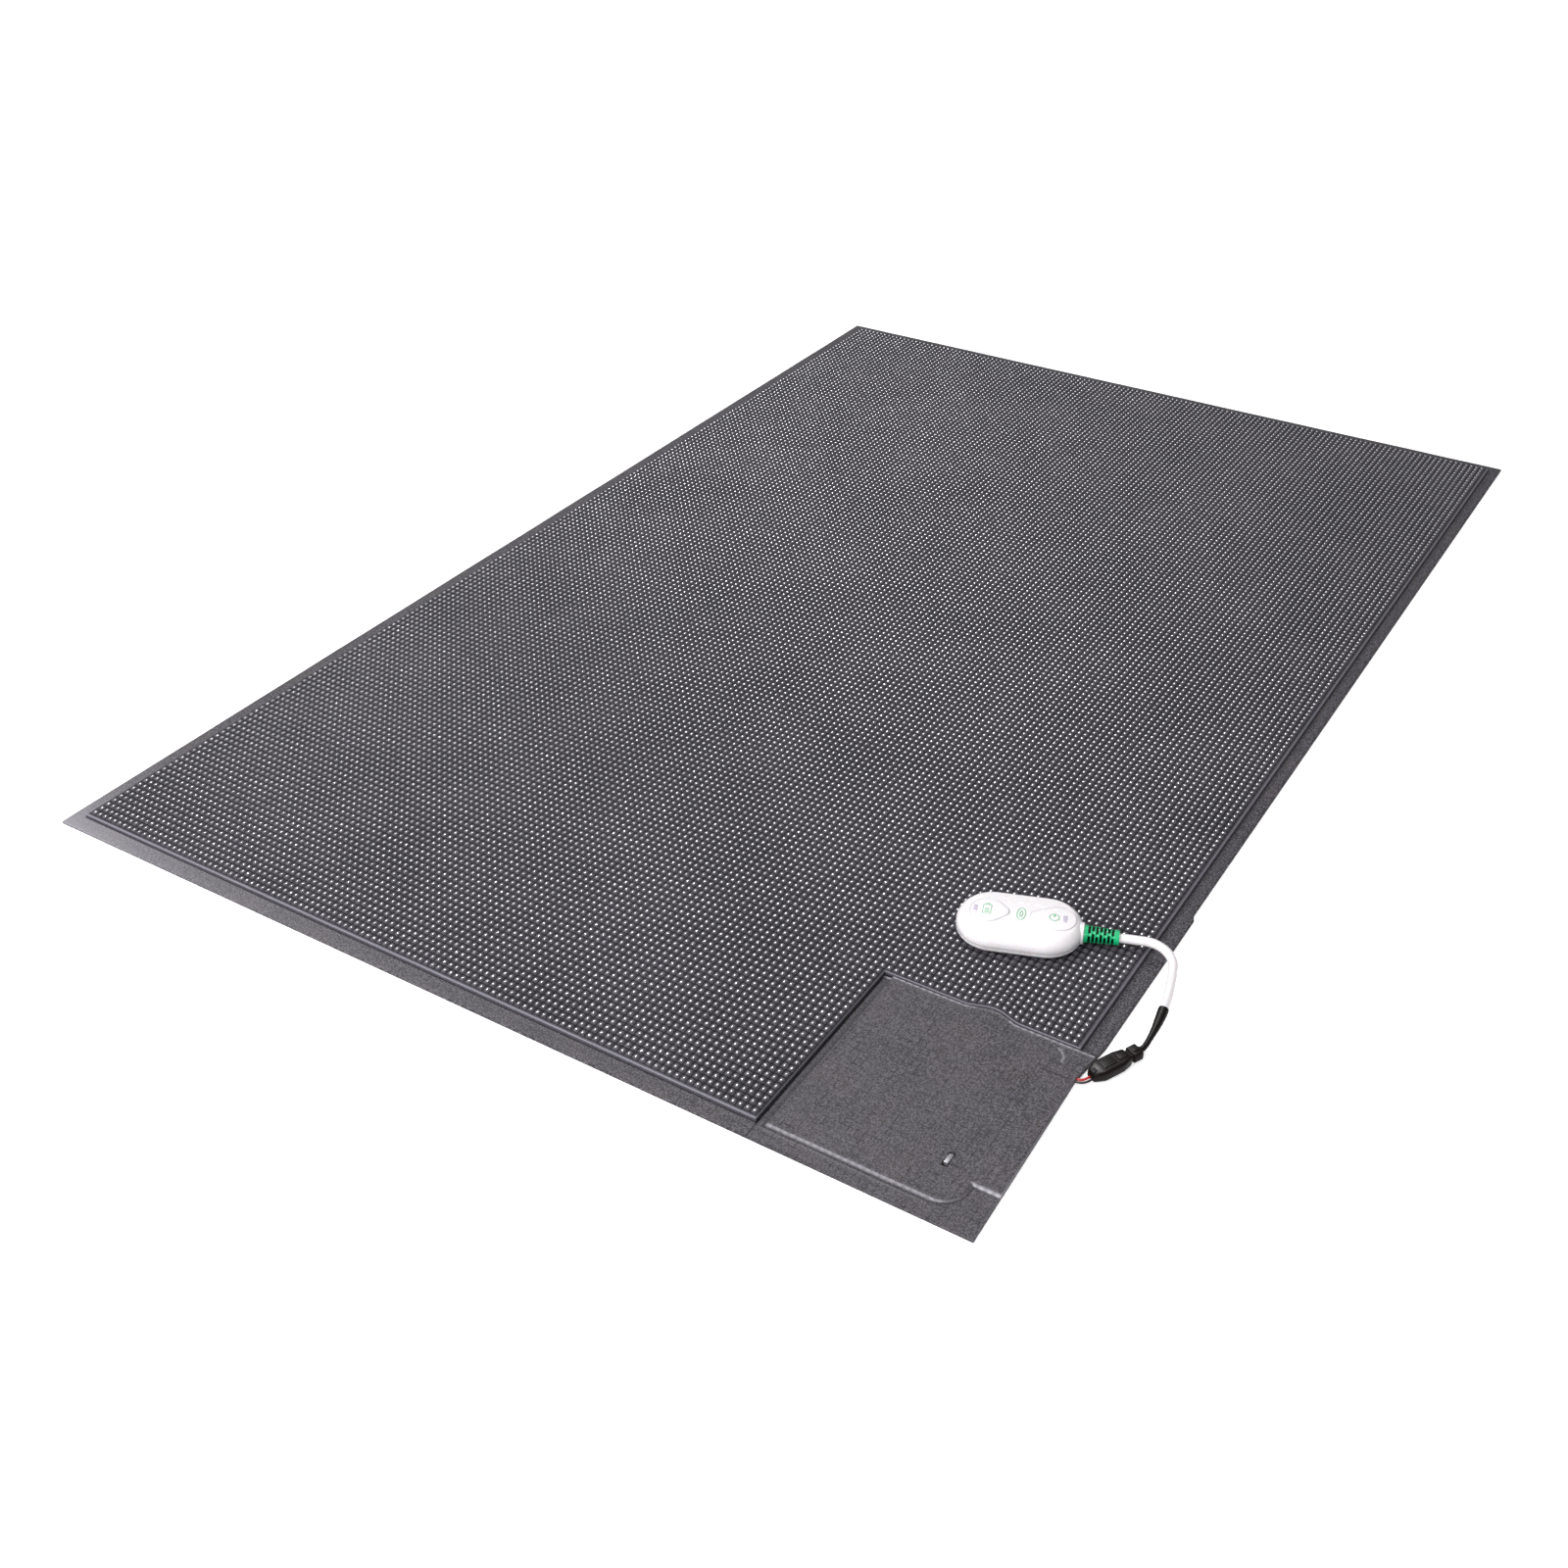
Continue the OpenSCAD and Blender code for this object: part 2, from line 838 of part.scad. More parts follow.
module circuit_board() {
  color("darkgreen")
    at_pod()
      difference() {
        stadium(board_c, board_r, board_lo, board_hi);
        for (side = [-1, 1])
          translate([0, side * post_v, 0]) cylinder(h = pod_h, r = 0.8 + slack);
      }
}

module radio_module() {
  color("silver") at_pod() translate([11, 0, 0]) block([11, 9, 1.6], board_hi);
}

module controller_chip() {
  color("black") at_pod() translate([-8, 0, 0]) block([7, 7, 1.2], board_hi);
}

// Quarter-wave wire along the edge of the board
module antenna() {
  wire_r = 0.4;
  wire_l = 24;
  color("gold")
    at_pod()
      translate([0, 6.5, board_hi + wire_r]) along_x(-wire_l / 2, wire_l / 2, wire_r);
}

module leds() {
  color("ivory")
    at_pod()
      for (side = [-1, 1])
        translate([side * light_u, 0, 0]) block([1.6, 3.2, 1], board_hi);
}

module window(side) {
  at_pod()
    intersection() {
      pod_form(0);
      translate([side * light_u, 0, 0])
        block([light_size[0], light_size[1], pod_h], light_lo);
    }
}

module window_battery() {
  color("thistle") window(-1);
}

module window_status() {
  color("thistle") window(1);
}

module pod_screws() {
  head_t = 1.1;
  head_lo = 1.8 - head_t;
  slot = 0.6;
  color("silver")
    at_pod()
      at_screws()
        difference() {
          union() {
            translate([0, 0, head_lo]) cylinder(h = head_t, r = screw_head_r);
            translate([0, 0, head_lo]) cylinder(h = screw_l, r = screw_r);
          }
          block([2.4, slot, slot], head_lo);
          block([slot, 2.4, slot], head_lo);
        }
}

// ---- Strain relief and cable ----

module on_cable_axis() {
  at_pod() translate([0, 0, cable_w]) children();
}

module strain_relief() {
  pitch = boot_l / rib_n;
  rib = 0.6 * pitch;
  color("#0f8f4b")
    on_cable_axis()
      difference() {
        union() {
          translate([boot_u, 0, 0])
            rotate([0, 90, 0])
              cylinder(h = boot_l, r1 = boot_core * boot_r, r2 = boot_core * boot_tip_r);
          for (i = [0 : rib_n - 1]) {
            share = i / (rib_n - 1);
            x = boot_u + share * (boot_l - rib);
            along_x(x, x + rib, boot_r + share * (boot_tip_r - boot_r));
          }
        }
        along_x(boot_u - 1, boot_u + boot_l + 1, cable_r + slack);
      }
}

// Frame of the cable's bends: origin at the strain relief's tip, tilted down to the plug
module on_bends() {
  on_cable_axis() translate([boot_u + boot_l, 0, 0]) rotate([cable_fall, 0, 0]) children();
}

module cable_jacket() {
  color("white")
    on_bends()
      difference() {
        sweep([-jacket_run, 0, 0], from_inside(cable_path, jacket_run)) circle(cable_r);
        sweep([-jacket_run, 0, 0], from_inside(cable_path, jacket_run)) circle(jacket_in);
      }
}

// Two insulated cores, from the board to the plug
module cable_cores() {
  whole = from_inside(concat(cable_path, sleeve_path), core_run);
  color("firebrick")
    on_bends()
      for (d = [-core_gap, core_gap])
        sweep(beside([-core_run, 0, 0], d), beside_path(whole, d)) circle(core_r);
}

// Shrink sleeve that narrows in steps from the jacket down to the cores
module cable_sleeve() {
  steps = 4;
  inner_r = core_gap + core_r + slack;
  end_r = inner_r + sleeve_wall;
  color("#1c1815")
    on_bends()
      difference() {
        union() {
          for (i = [1 : steps])
            sweep(jacket_end, [[fall_r, -sleeve_turn * i / steps]])
              circle(cable_r + (i - 1) / steps * (end_r - cable_r));
          sweep(jacket_end, sleeve_path) circle(end_r);
        }
        sweep(jacket_end, sleeve_path) circle(inner_r);
      }
}

base_sheet();
lower_electrode();
spacer_foam();
upper_electrode();
cover_field();
cover_rim();
corner_plate();
corner_panel();
foil_tails();
lead_terminals();
lead_red();
lead_black();
lead_tie();
socket_housing();
socket_pins();
pod_bottom();
pod_top();
pod_seal();
battery_door();
batteries();
battery_springs();
battery_plates();
circuit_board();
radio_module();
controller_chip();
antenna();
leds();
window_battery();
window_status();
pod_screws();
strain_relief();
cable_jacket();
cable_cores();
cable_sleeve();
plug_housing();
plug_contacts();
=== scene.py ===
"""Looks for a weight-sensing floor mat with a plug-in transmitter.

Lengths are in millimetres in the row frame, and turn into metres when a piece is built.
"""

import json
import math

import bmesh
import bpy
import numpy as np
from mathutils import Matrix, Vector, noise


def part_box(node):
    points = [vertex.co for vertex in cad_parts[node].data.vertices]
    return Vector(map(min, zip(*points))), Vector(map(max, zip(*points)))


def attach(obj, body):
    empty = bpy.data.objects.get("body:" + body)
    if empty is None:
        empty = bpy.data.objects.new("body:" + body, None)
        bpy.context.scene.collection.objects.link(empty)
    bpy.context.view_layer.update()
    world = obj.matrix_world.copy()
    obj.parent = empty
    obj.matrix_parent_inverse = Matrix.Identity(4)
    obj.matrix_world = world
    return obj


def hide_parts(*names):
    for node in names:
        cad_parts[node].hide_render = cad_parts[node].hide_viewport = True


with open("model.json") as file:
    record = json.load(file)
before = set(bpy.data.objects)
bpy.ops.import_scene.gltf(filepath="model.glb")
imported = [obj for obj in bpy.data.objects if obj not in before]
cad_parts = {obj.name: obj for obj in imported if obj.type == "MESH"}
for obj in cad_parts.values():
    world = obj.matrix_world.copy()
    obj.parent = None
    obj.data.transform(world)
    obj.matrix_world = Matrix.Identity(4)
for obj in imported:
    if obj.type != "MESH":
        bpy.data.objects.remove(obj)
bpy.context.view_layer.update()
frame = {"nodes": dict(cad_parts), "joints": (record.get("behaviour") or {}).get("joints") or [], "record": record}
# Each CAD node's material slot and its body, by the record
SLOT_OF = {part["node"]: part["material_slot"] for part in frame["record"]["subparts"]}
BODY_OF = {
    node: body for body, nodes in frame["record"]["behaviour"]["bodies"].items() for node in nodes
}

MM = 0.001
SEED = 11
UP = Vector((0, 0, 1))
# Spacing of the tread's bumps, across the mat and along it
BUMP_PITCH = (4.2, 4.7)


# ---- Places taken from the frame ----

def box_mm(node):
    lo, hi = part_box(node)
    return lo / MM, hi / MM


def points_mm(node):
    return [v.co / MM for v in frame["nodes"][node].data.vertices]


def local_box(node, place):
    """Lowest and highest corner of a CAD node in a frame of its own, in millimetres."""
    inverse = place.inverted()
    points = np.array([inverse @ p for p in points_mm(node)])
    return Vector(points.min(0)), Vector(points.max(0))


def slide_axis(joint_name):
    return next(Vector(j["axis"]) for j in frame["joints"] if j["name"] == joint_name)


def facing(origin, direction):
    """A frame at origin with its X along a level direction and its Z up."""
    turn = math.atan2(direction.y, direction.x)
    return Matrix.Translation(origin) @ Matrix.Rotation(turn, 4, "Z")


def pod_place():
    """Transmitter: X along the case to the cable, origin at the middle of its underside."""
    middle = sum(box_mm("circuit_board"), Vector()) / 2
    door_lo, _ = box_mm("battery_door")
    return facing(Vector((middle.x, middle.y, door_lo.z)), -slide_axis("battery_door_slide"))


def plug_place():
    """Plug: X along its axis towards the mat, origin at the near face of its head."""
    turned = facing(Vector(), -slide_axis("unplug"))
    contacts_lo, contacts_hi = local_box("plug_contacts", turned)
    head_lo, _ = local_box("plug_housing", turned)
    middle = (contacts_lo + contacts_hi) / 2
    return facing(turned @ Vector((head_lo.x, middle.y, middle.z)), -slide_axis("unplug"))


MAT_LO, MAT_HI = box_mm("base_sheet")
TREAD_LO, TREAD_HI = box_mm("cover_field")
_, RIM_HI = box_mm("cover_rim")
PANEL_LO, PANEL_HI = box_mm("corner_panel")
PLATE_LO, PLATE_HI = box_mm("corner_plate")
TIE_LO, TIE_HI = box_mm("lead_tie")
TIE_MID = (TIE_LO + TIE_HI) / 2
POD = pod_place()
TOP_LO, TOP_HI = local_box("pod_top", POD)
BOOT_LO, BOOT_HI = local_box("strain_relief", POD)
PLUG = plug_place()
SOCKET_LO, SOCKET_HI = local_box("socket_housing", PLUG)
HEAD_LO, HEAD_HI = local_box("plug_housing", PLUG)


# ---- Building meshes ----

WELD = 0.002
ROUND_STEPS = 4


def ease(low, high, value):
    """0 below low, 1 above high, with an even slope between. Works on numbers and arrays."""
    share = np.clip((value - low) / (high - low), 0, 1)
    return share * share * (3 - 2 * share)


def wander(x, y, scale, seed=0):
    """Smooth noise from -1 to 1 at one point, with features about scale millimetres wide."""
    return noise.noise(Vector((x / scale, y / scale, seed + 0.5)))


def wander_grid(xs, ys, scale, seed=0):
    return np.vectorize(lambda x, y: wander(x, y, scale, seed))(xs, ys)


def add_object(name, data):
    thing = bpy.data.objects.new(name, data)
    bpy.context.scene.collection.objects.link(thing)
    return thing


def paint(piece, look, chosen):
    """Gives a second material to the faces whose middles, in millimetres, are chosen."""
    piece.data.materials.append(MATERIALS[look])
    for face in piece.data.polygons:
        if chosen(face.center / MM):
            face.material_index = 1


def build(name, points, faces, place=None, sharp=40, marks=None):
    """A piece from points in millimetres, with its faces turned outwards and its edges of more than
    sharp degrees kept. marks is an attribute for the material and its vector at each point, and a
    piece with marks isn't welded."""
    mesh = bpy.data.meshes.new(name)
    where = place or Matrix.Identity(4)
    mesh.from_pydata([(where @ Vector(p)) * MM for p in points], [], faces)
    if marks:
        kept = mesh.attributes.new(marks[0], "FLOAT_VECTOR", "POINT")
        kept.data.foreach_set("vector", np.array(marks[1], np.float32).ravel())
    shaper = bmesh.new()
    shaper.from_mesh(mesh)
    if marks:
        loose = [v for v in shaper.verts if not v.link_faces]
        bmesh.ops.delete(shaper, geom=loose, context="VERTS")
    else:
        bmesh.ops.remove_doubles(shaper, verts=shaper.verts, dist=WELD * MM)
        bmesh.ops.dissolve_degenerate(shaper, edges=shaper.edges, dist=WELD * MM / 2)
    bmesh.ops.recalc_face_normals(shaper, faces=shaper.faces)
    shaper.to_mesh(mesh)
    shaper.free()
    mesh.shade_smooth()
    mesh.set_sharp_from_angle(angle=math.radians(sharp))
    return add_object(name, mesh)


def dress(piece, node, look=None):
    """Puts a piece on a CAD node's body and in its slot, with the slot's own material or another."""
    piece.data.materials.append(MATERIALS[look or SLOT_OF[node]])
    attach(piece, BODY_OF[node])


def stand_in(piece, node):
    """Dresses a piece, and takes the CAD node out."""
    dress(piece, node)
    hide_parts(node)


def band(ring, following):
    """Quads between two rings of as many points."""
    count = len(ring)
    return [
        (ring[k], ring[(k + 1) % count], following[(k + 1) % count], following[k]) for k in range(count)
    ]


def ring_faces(count, size, loop=False):
    """Quads between rings of points, closed at both ends unless the rings form a loop."""
    rings = [range(k * size, (k + 1) * size) for k in range(count)]
    faces = []
    for k in range(count if loop else count - 1):
        faces += band(rings[k], rings[(k + 1) % count])
    return faces if loop else faces + [tuple(reversed(rings[0])), tuple(rings[-1])]


def row_faces(row, columns, count):
    """The first quads of one row of a grid of points."""
    a = row * columns
    return [(a + i, a + i + 1, a + i + 1 + columns, a + i + columns) for i in range(count)]


def loft(name, rings, place=None, loop=False, sharp=40):
    points = [p for ring in rings for p in ring]
    return build(name, points, ring_faces(len(rings), len(rings[0]), loop), place, sharp=sharp)


def join(name, parts):
    """One piece from several."""
    whole = parts[0]
    mesh = bmesh.new()
    for part in parts:
        mesh.from_mesh(part.data)
    mesh.to_mesh(whole.data)
    mesh.free()
    for part in parts[1:]:
        bpy.data.objects.remove(part)
    whole.name = name
    whole.data.name = name
    return whole


def rounded_rect(width, height, radius, corner_steps=5):
    """Points round a rectangle with round corners, centred on the origin."""
    points = []
    for quarter in range(4):
        turn = math.pi / 2 * quarter
        cx = (width / 2 - radius) * (1 if quarter in (0, 3) else -1)
        cy = (height / 2 - radius) * (1 if quarter in (0, 1) else -1)
        for k in range(corner_steps + 1):
            angle = turn + math.pi / 2 * k / corner_steps
            points.append((cx + radius * math.cos(angle), cy + radius * math.sin(angle)))
    return points


def bar_rings(sections):
    """Rings along X. A section is (x, width, height, corner radius, rise)."""
    return [
        [(x, y, z + rise) for y, z in rounded_rect(width, height, radius)]
        for x, width, height, radius, rise in sections
    ]


def soft_bar(x0, x1, width, height, corner, edge, rise=0):
    """Sections of a bar along X whose ends are rounded over by edge."""
    near, far = [], []
    for k in range(ROUND_STEPS + 1):
        turn = math.pi / 2 * k / ROUND_STEPS
        back = edge * (1 - math.cos(turn))
        inset = 2 * edge * (1 - math.sin(turn))
        w, h = width - inset, height - inset
        r = min(corner, w / 2 - 0.02, h / 2 - 0.02)
        near.append((x0 + back, w, h, r, rise))
        far.insert(0, (x1 - back, w, h, r, rise))
    return near + far


def soft_bars(name, bars, place):
    """Several soft bars in one piece. Each is the arguments of soft_bar."""
    return join(name, [loft(name, bar_rings(soft_bar(*bar)), place) for bar in bars])


# A path is a list of (length, 0) for a straight run and (radius, turn in degrees) for a bend, left
# positive. A pose is (x, y, heading in degrees).
def step(pose, leg):
    x, y, heading = pose
    size, turn = leg
    here = math.radians(heading)
    if turn == 0:
        return (x + size * math.cos(here), y + size * math.sin(here), heading)
    side = math.copysign(size, turn)
    end = math.radians(heading + turn)
    return (
        x + side * (math.sin(end) - math.sin(here)),
        y + side * (math.cos(here) - math.cos(end)),
        heading + turn,
    )


def path_poses(pose, path, spacing=0.7):
    """Poses along a path, about spacing apart."""
    poses = [pose]
    for size, turn in path:
        length = size if turn == 0 else size * math.radians(abs(turn))
        count = max(2, round(length / spacing))
        start = poses[-1]
        for k in range(1, count + 1):
            part = (size * k / count, 0) if turn == 0 else (size, turn * k / count)
            poses.append(step(start, part))
    return poses


def tube_rings(poses, radius, sides):
    """Rings round a level path. The radius is a function of the pose's number and the angle."""
    rings = []
    for k, (x, y, heading) in enumerate(poses):
        across = Vector((-math.sin(math.radians(heading)), math.cos(math.radians(heading)), 0))
        ring = []
        for side in range(sides):
            angle = 2 * math.pi * side / sides
            r = radius(k, angle)
            ring.append(Vector((x, y, 0)) + across * r * math.cos(angle) + UP * r * math.sin(angle))
        rings.append(ring)
    return rings


def tube(name, poses, place, shape, sides):
    """A piece along a path. shape gives its radius from the share of the path and the angle."""
    end = len(poses) - 1
    return loft(name, tube_rings(poses, lambda k, angle: shape(k / end, angle), sides), place)


def turned(name, section, place, shape=lambda x, r, angle: r, sides=48, sharp=40):
    """A piece turned round X from (x, radius) points, whose radius shape may change."""
    poses = [(x, 0, 0) for x, _ in section]
    rings = tube_rings(poses, lambda k, angle: shape(*section[k], angle), sides)
    return loft(name, rings, place, sharp=sharp)


# ---- Materials ----

def colour(hex_code, share=1):
    """A linear colour from an sRGB hex code, or a darker one with a share of its light."""
    parts = [int(hex_code[i:i + 2], 16) / 255 for i in (0, 2, 4)]
    linear = [p / 12.92 if p <= 0.04045 else ((p + 0.055) / 1.055) ** 2.4 for p in parts]
    return tuple(p * share for p in linear) + (1,)


class Shader:
    """The nodes of a new material or world, with one call to add a node and feed its sockets."""

    def __init__(self, name, kind="materials"):
        self.owner = getattr(bpy.data, kind).new(name)
        self.owner.use_nodes = True
        self.tree = self.owner.node_tree
        self.tree.nodes.clear()

    def feed(self, socket, value):
        """Links another node's output, or sets a number, a vector or a colour, also by hex code."""
        if isinstance(value, bpy.types.NodeSocket):
            self.tree.links.new(value, socket)
        else:
            socket.default_value = colour(value) if isinstance(value, str) else value

    def add(self, kind, *values, output=0, **named):
        """Capitalised names are sockets, other names are the node's own settings."""
        node = self.tree.nodes.new("ShaderNode" + kind)
        for key, value in named.items():
            if not key[0].isupper():
                setattr(node, key, value)
        for key, value in named.items():
            if key[0].isupper():
                self.feed(node.inputs[key.replace("_", " ")], value)
        for socket, value in zip(node.inputs, values):
            self.feed(socket, value)
        return node.outputs[output]

    def place(self):
        return self.add("TexCoord", output="Object")

    def maths(self, operation, *values):
        return self.add("Math", *values, operation=operation)

    def part(self, vector, axis):
        split = self.tree.nodes.new("ShaderNodeSeparateXYZ")
        self.feed(split.inputs[0], vector)
        return split.outputs[axis]

    def remap(self, value, low, high, to_low, to_high):
        return self.add("MapRange", value, low, high, to_low, to_high)

    def blend(self, share, first, second):
        return self.add("MixRGB", share, first, second)

    def mottle(self, noise, first, second, low=0.35, high=0.65):
        """One colour where the noise is low and another where it is high."""
        return self.blend(self.remap(noise, low, high, 0, 1), first, second)

    def speckle(self, size, detail=3, vector=None):
        """Noise from about 0.3 to 0.7 with grains about size millimetres wide."""
        return self.add(
            "TexNoise", Vector=vector or self.place(), Scale=1 / (size * MM), Detail=detail, Roughness=0.6
        )

    def relief(self, height, depth, under=None):
        """A bump of the given depth in millimetres where height goes from 0 to 1."""
        named = {"Height": height, "Distance": depth * MM, "Strength": 1}
        if under is not None:
            named["Normal"] = under
        return self.add("Bump", **named)

    def end(self, surface, output="OutputMaterial"):
        self.tree.links.new(surface, self.tree.nodes.new("ShaderNode" + output).inputs["Surface"])
        return self.owner

    def finish(self, base, roughness, normal=None, **named):
        if normal is not None:
            named["Normal"] = normal
        return self.end(self.add("BsdfPrincipled", Base_Color=base, Roughness=roughness, **named))


def grain_cell(sh, turns):
    """From a place counted in bumps: how far up a bump it is, and how deep between four of them."""
    edges = []
    for axis, sharpness in (("X", 2.6), ("Y", 3.4)):
        part = sh.maths("FRACT", sh.part(turns, axis))
        centred = sh.maths("ABSOLUTE", sh.maths("SUBTRACT", part, 0.5))
        edges.append(sh.maths("POWER", sh.maths("MULTIPLY", centred, 2), sharpness))
    domes = [sh.maths("SUBTRACT", 1, edge) for edge in edges]
    return sh.maths("MULTIPLY", *domes), sh.maths("MULTIPLY", *edges)


def tread_vinyl():
    """Embossed vinyl: painted shade in the seams between the bumps and at the foot of the shoulder, a painted
    highlight line across the shoulder, and tips that are lighter, partly from wear and partly as a painted
    highlight.
    """
    sh = Shader("tread_vinyl")
    turns = sh.add("Attribute", attribute_name="turns", output="Vector")
    fall = sh.part(turns, "Z")
    shoulder = sh.remap(fall, 0, 1, 0, 1)
    # Painted shadow: the foot of the shoulder's wall darkens where its contact shadow falls
    foot = sh.remap(fall, 1.6, 2, 0, 0.6)
    # Painted highlight: a light line across the upper part of the shoulder
    shoulder_highlight = sh.maths("MULTIPLY", sh.remap(fall, 1.02, 1.12, 0, 0.7), sh.remap(fall, 1.2, 1.4, 1, 0))
    dome, pit = grain_cell(sh, turns)
    grit = sh.speckle(0.9, 4)
    tops = sh.mottle(sh.speckle(90, 2), "2f2e34", "3f3d44")
    flat = sh.blend(shoulder, tops, "403f45")
    gritty = sh.blend(sh.remap(grit, 0.4, 0.6, 0, 0.5), flat, "66626a")
    # The tips are lighter in colour: partly wear, partly a painted highlight
    wear_and_highlight = sh.blend(sh.remap(dome, 0.85, 1, 0, 0.22), gritty, "84828c")
    # Painted shade: the seams between the bumps go near black, darkest where four bumps meet, but not on the
    # shoulder
    seam_shade = sh.remap(sh.maths("MAXIMUM", dome, shoulder), 0.02, 0.48, 0.95, 0)
    deep = sh.maths("MULTIPLY", pit, sh.maths("SUBTRACT", 1, shoulder))
    painted_shade = sh.maths("MAXIMUM", sh.maths("MAXIMUM", seam_shade, deep), foot)
    # The colour of the shoulder's painted highlight line
    highlighted = sh.blend(shoulder_highlight, wear_and_highlight, "908e98")
    # The painted shade, near black, goes over all the other colours
    base = sh.blend(painted_shade, highlighted, "040405")
    rough = sh.maths("ADD", sh.remap(dome, 0.7, 1, 0.6, 0.22), sh.remap(grit, 0.3, 0.7, -0.04, 0.06))
    normal = sh.relief(dome, 0.5, sh.relief(grit, 0.03))
    shine = sh.remap(dome, 0.75, 1, 0.05, 1)
    return sh.finish(base, rough, normal, Specular_IOR_Level=shine)


def flat_vinyl(name, dark, light, cracks):
    """Vinyl pressed flat by the weld: grit, broken creases where the seams of the grain were, darkened with
    painted shade, and the lines of painted highlight and painted shade that its mesh marks, if it marks any."""
    sh = Shader(name)
    grit = sh.speckle(0.9, 3)
    per_metre = [1 / (pitch * MM) for pitch in BUMP_PITCH]
    turns = sh.add("VectorMath", sh.place(), (*per_metre, 0), operation="MULTIPLY")
    ghost, _ = grain_cell(sh, turns)
    seams = sh.remap(ghost, 0, 0.4, 1, 0)
    broken = sh.maths("MULTIPLY", seams, sh.remap(sh.speckle(7, 2), 0.45, 0.62, 0.15, cracks))
    cool = sh.mottle(sh.speckle(35, 3), dark, light)
    base = sh.blend(sh.remap(sh.speckle(28, 1), 0.5, 0.7, 0, 0.35), cool, "433a33")
    gritty = sh.blend(sh.remap(grit, 0.42, 0.62, 0, 0.8), base, "6d6971")
    # Painted shade: the broken creases are darkened
    creased = sh.blend(sh.maths("MULTIPLY", broken, 0.6), gritty, "121214")
    # Painted highlight and painted shade: light and dark lines that the mesh marks, the light ones also a little
    # glossier
    marks = sh.add("Attribute", attribute_name="marks", output="Vector")
    bright, shady = sh.part(marks, "X"), sh.part(marks, "Y")
    lined = sh.blend(bright, sh.blend(shady, creased, "17181c"), "bab7bf")
    normal = sh.relief(ghost, 0.05, sh.relief(grit, 0.05))
    normal = sh.relief(sh.maths("SUBTRACT", 1, broken), 0.08, normal)
    dull = sh.remap(grit, 0.3, 0.7, 0.5, 0.68)
    rough = sh.maths("SUBTRACT", dull, sh.maths("MULTIPLY", bright, 0.2))
    return sh.finish(lined, rough, normal, Specular_IOR_Level=0.1)


def plastic(name, hex_code, rough=0.35, mottle=0.03, coat=0.0, subsurface=0.0, grit=0.01, shine=0.5):
    """Moulded plastic: slightly uneven in colour and gloss, with a fine mould texture."""
    sh = Shader(name)
    base = sh.mottle(sh.speckle(6, 3), colour(hex_code, 1 - mottle * 2), hex_code)
    gloss = sh.remap(sh.speckle(3, 4), 0.3, 0.7, rough - 0.04, rough + 0.06)
    named = {
        "Coat_Weight": coat, "Coat_Roughness": 0.08,
        "Subsurface_Weight": subsurface, "Specular_IOR_Level": shine,
    }
    if subsurface:
        named["Subsurface_Scale"] = 1.5 * MM
    return sh.finish(base, gloss, sh.relief(sh.speckle(0.35, 2), grit), **named)


def metal(name, hex_code, rough):
    """Drawn or plated metal with fine lines and slight tarnish."""
    sh = Shader(name)
    lines = sh.add("VectorMath", sh.place(), (1, 12, 12), operation="MULTIPLY")
    streak = sh.speckle(2, 3, lines)
    base = sh.mottle(streak, colour(hex_code, 0.7), hex_code, 0.3, 0.7)
    gloss = sh.remap(streak, 0.3, 0.7, rough - 0.06, rough + 0.1)
    return sh.finish(base, gloss, sh.relief(streak, 0.01), Metallic=1.0)


def open_foam():
    sh = Shader("open_foam")
    cells = sh.add("TexVoronoi", Vector=sh.place(), Scale=1 / (0.8 * MM), output="Distance")
    base = sh.mottle(cells, "b9b7b2", "dddbd5", 0.1, 0.6)
    return sh.finish(base, 0.9, sh.relief(cells, 0.3))


def lens():
    """Smoked window over a light, a little violet."""
    sh = Shader("light_window")
    base = sh.mottle(sh.speckle(1.5, 2), "bfb6ca", "d0c8d9")
    return sh.finish(base, 0.16, sh.relief(sh.speckle(2, 2), 0.01), Coat_Weight=0.6, Coat_Roughness=0.05)


def board_green():
    sh = Shader("board_green")
    tracks = sh.add(
        "TexBrick", Vector=sh.place(), output="Fac", Scale=1, Mortar_Size=0.3 * MM,
        Brick_Width=2.6 * MM, Row_Height=1.3 * MM,
    )
    base = sh.blend(tracks, "0d4a28", "1f7a45")
    return sh.finish(base, 0.35, sh.relief(tracks, 0.03), Coat_Weight=0.4)


def made(maker, looks):
    """A material for each name, from what its maker takes after the name."""
    return {name: maker(name, *look) for name, look in looks.items()}


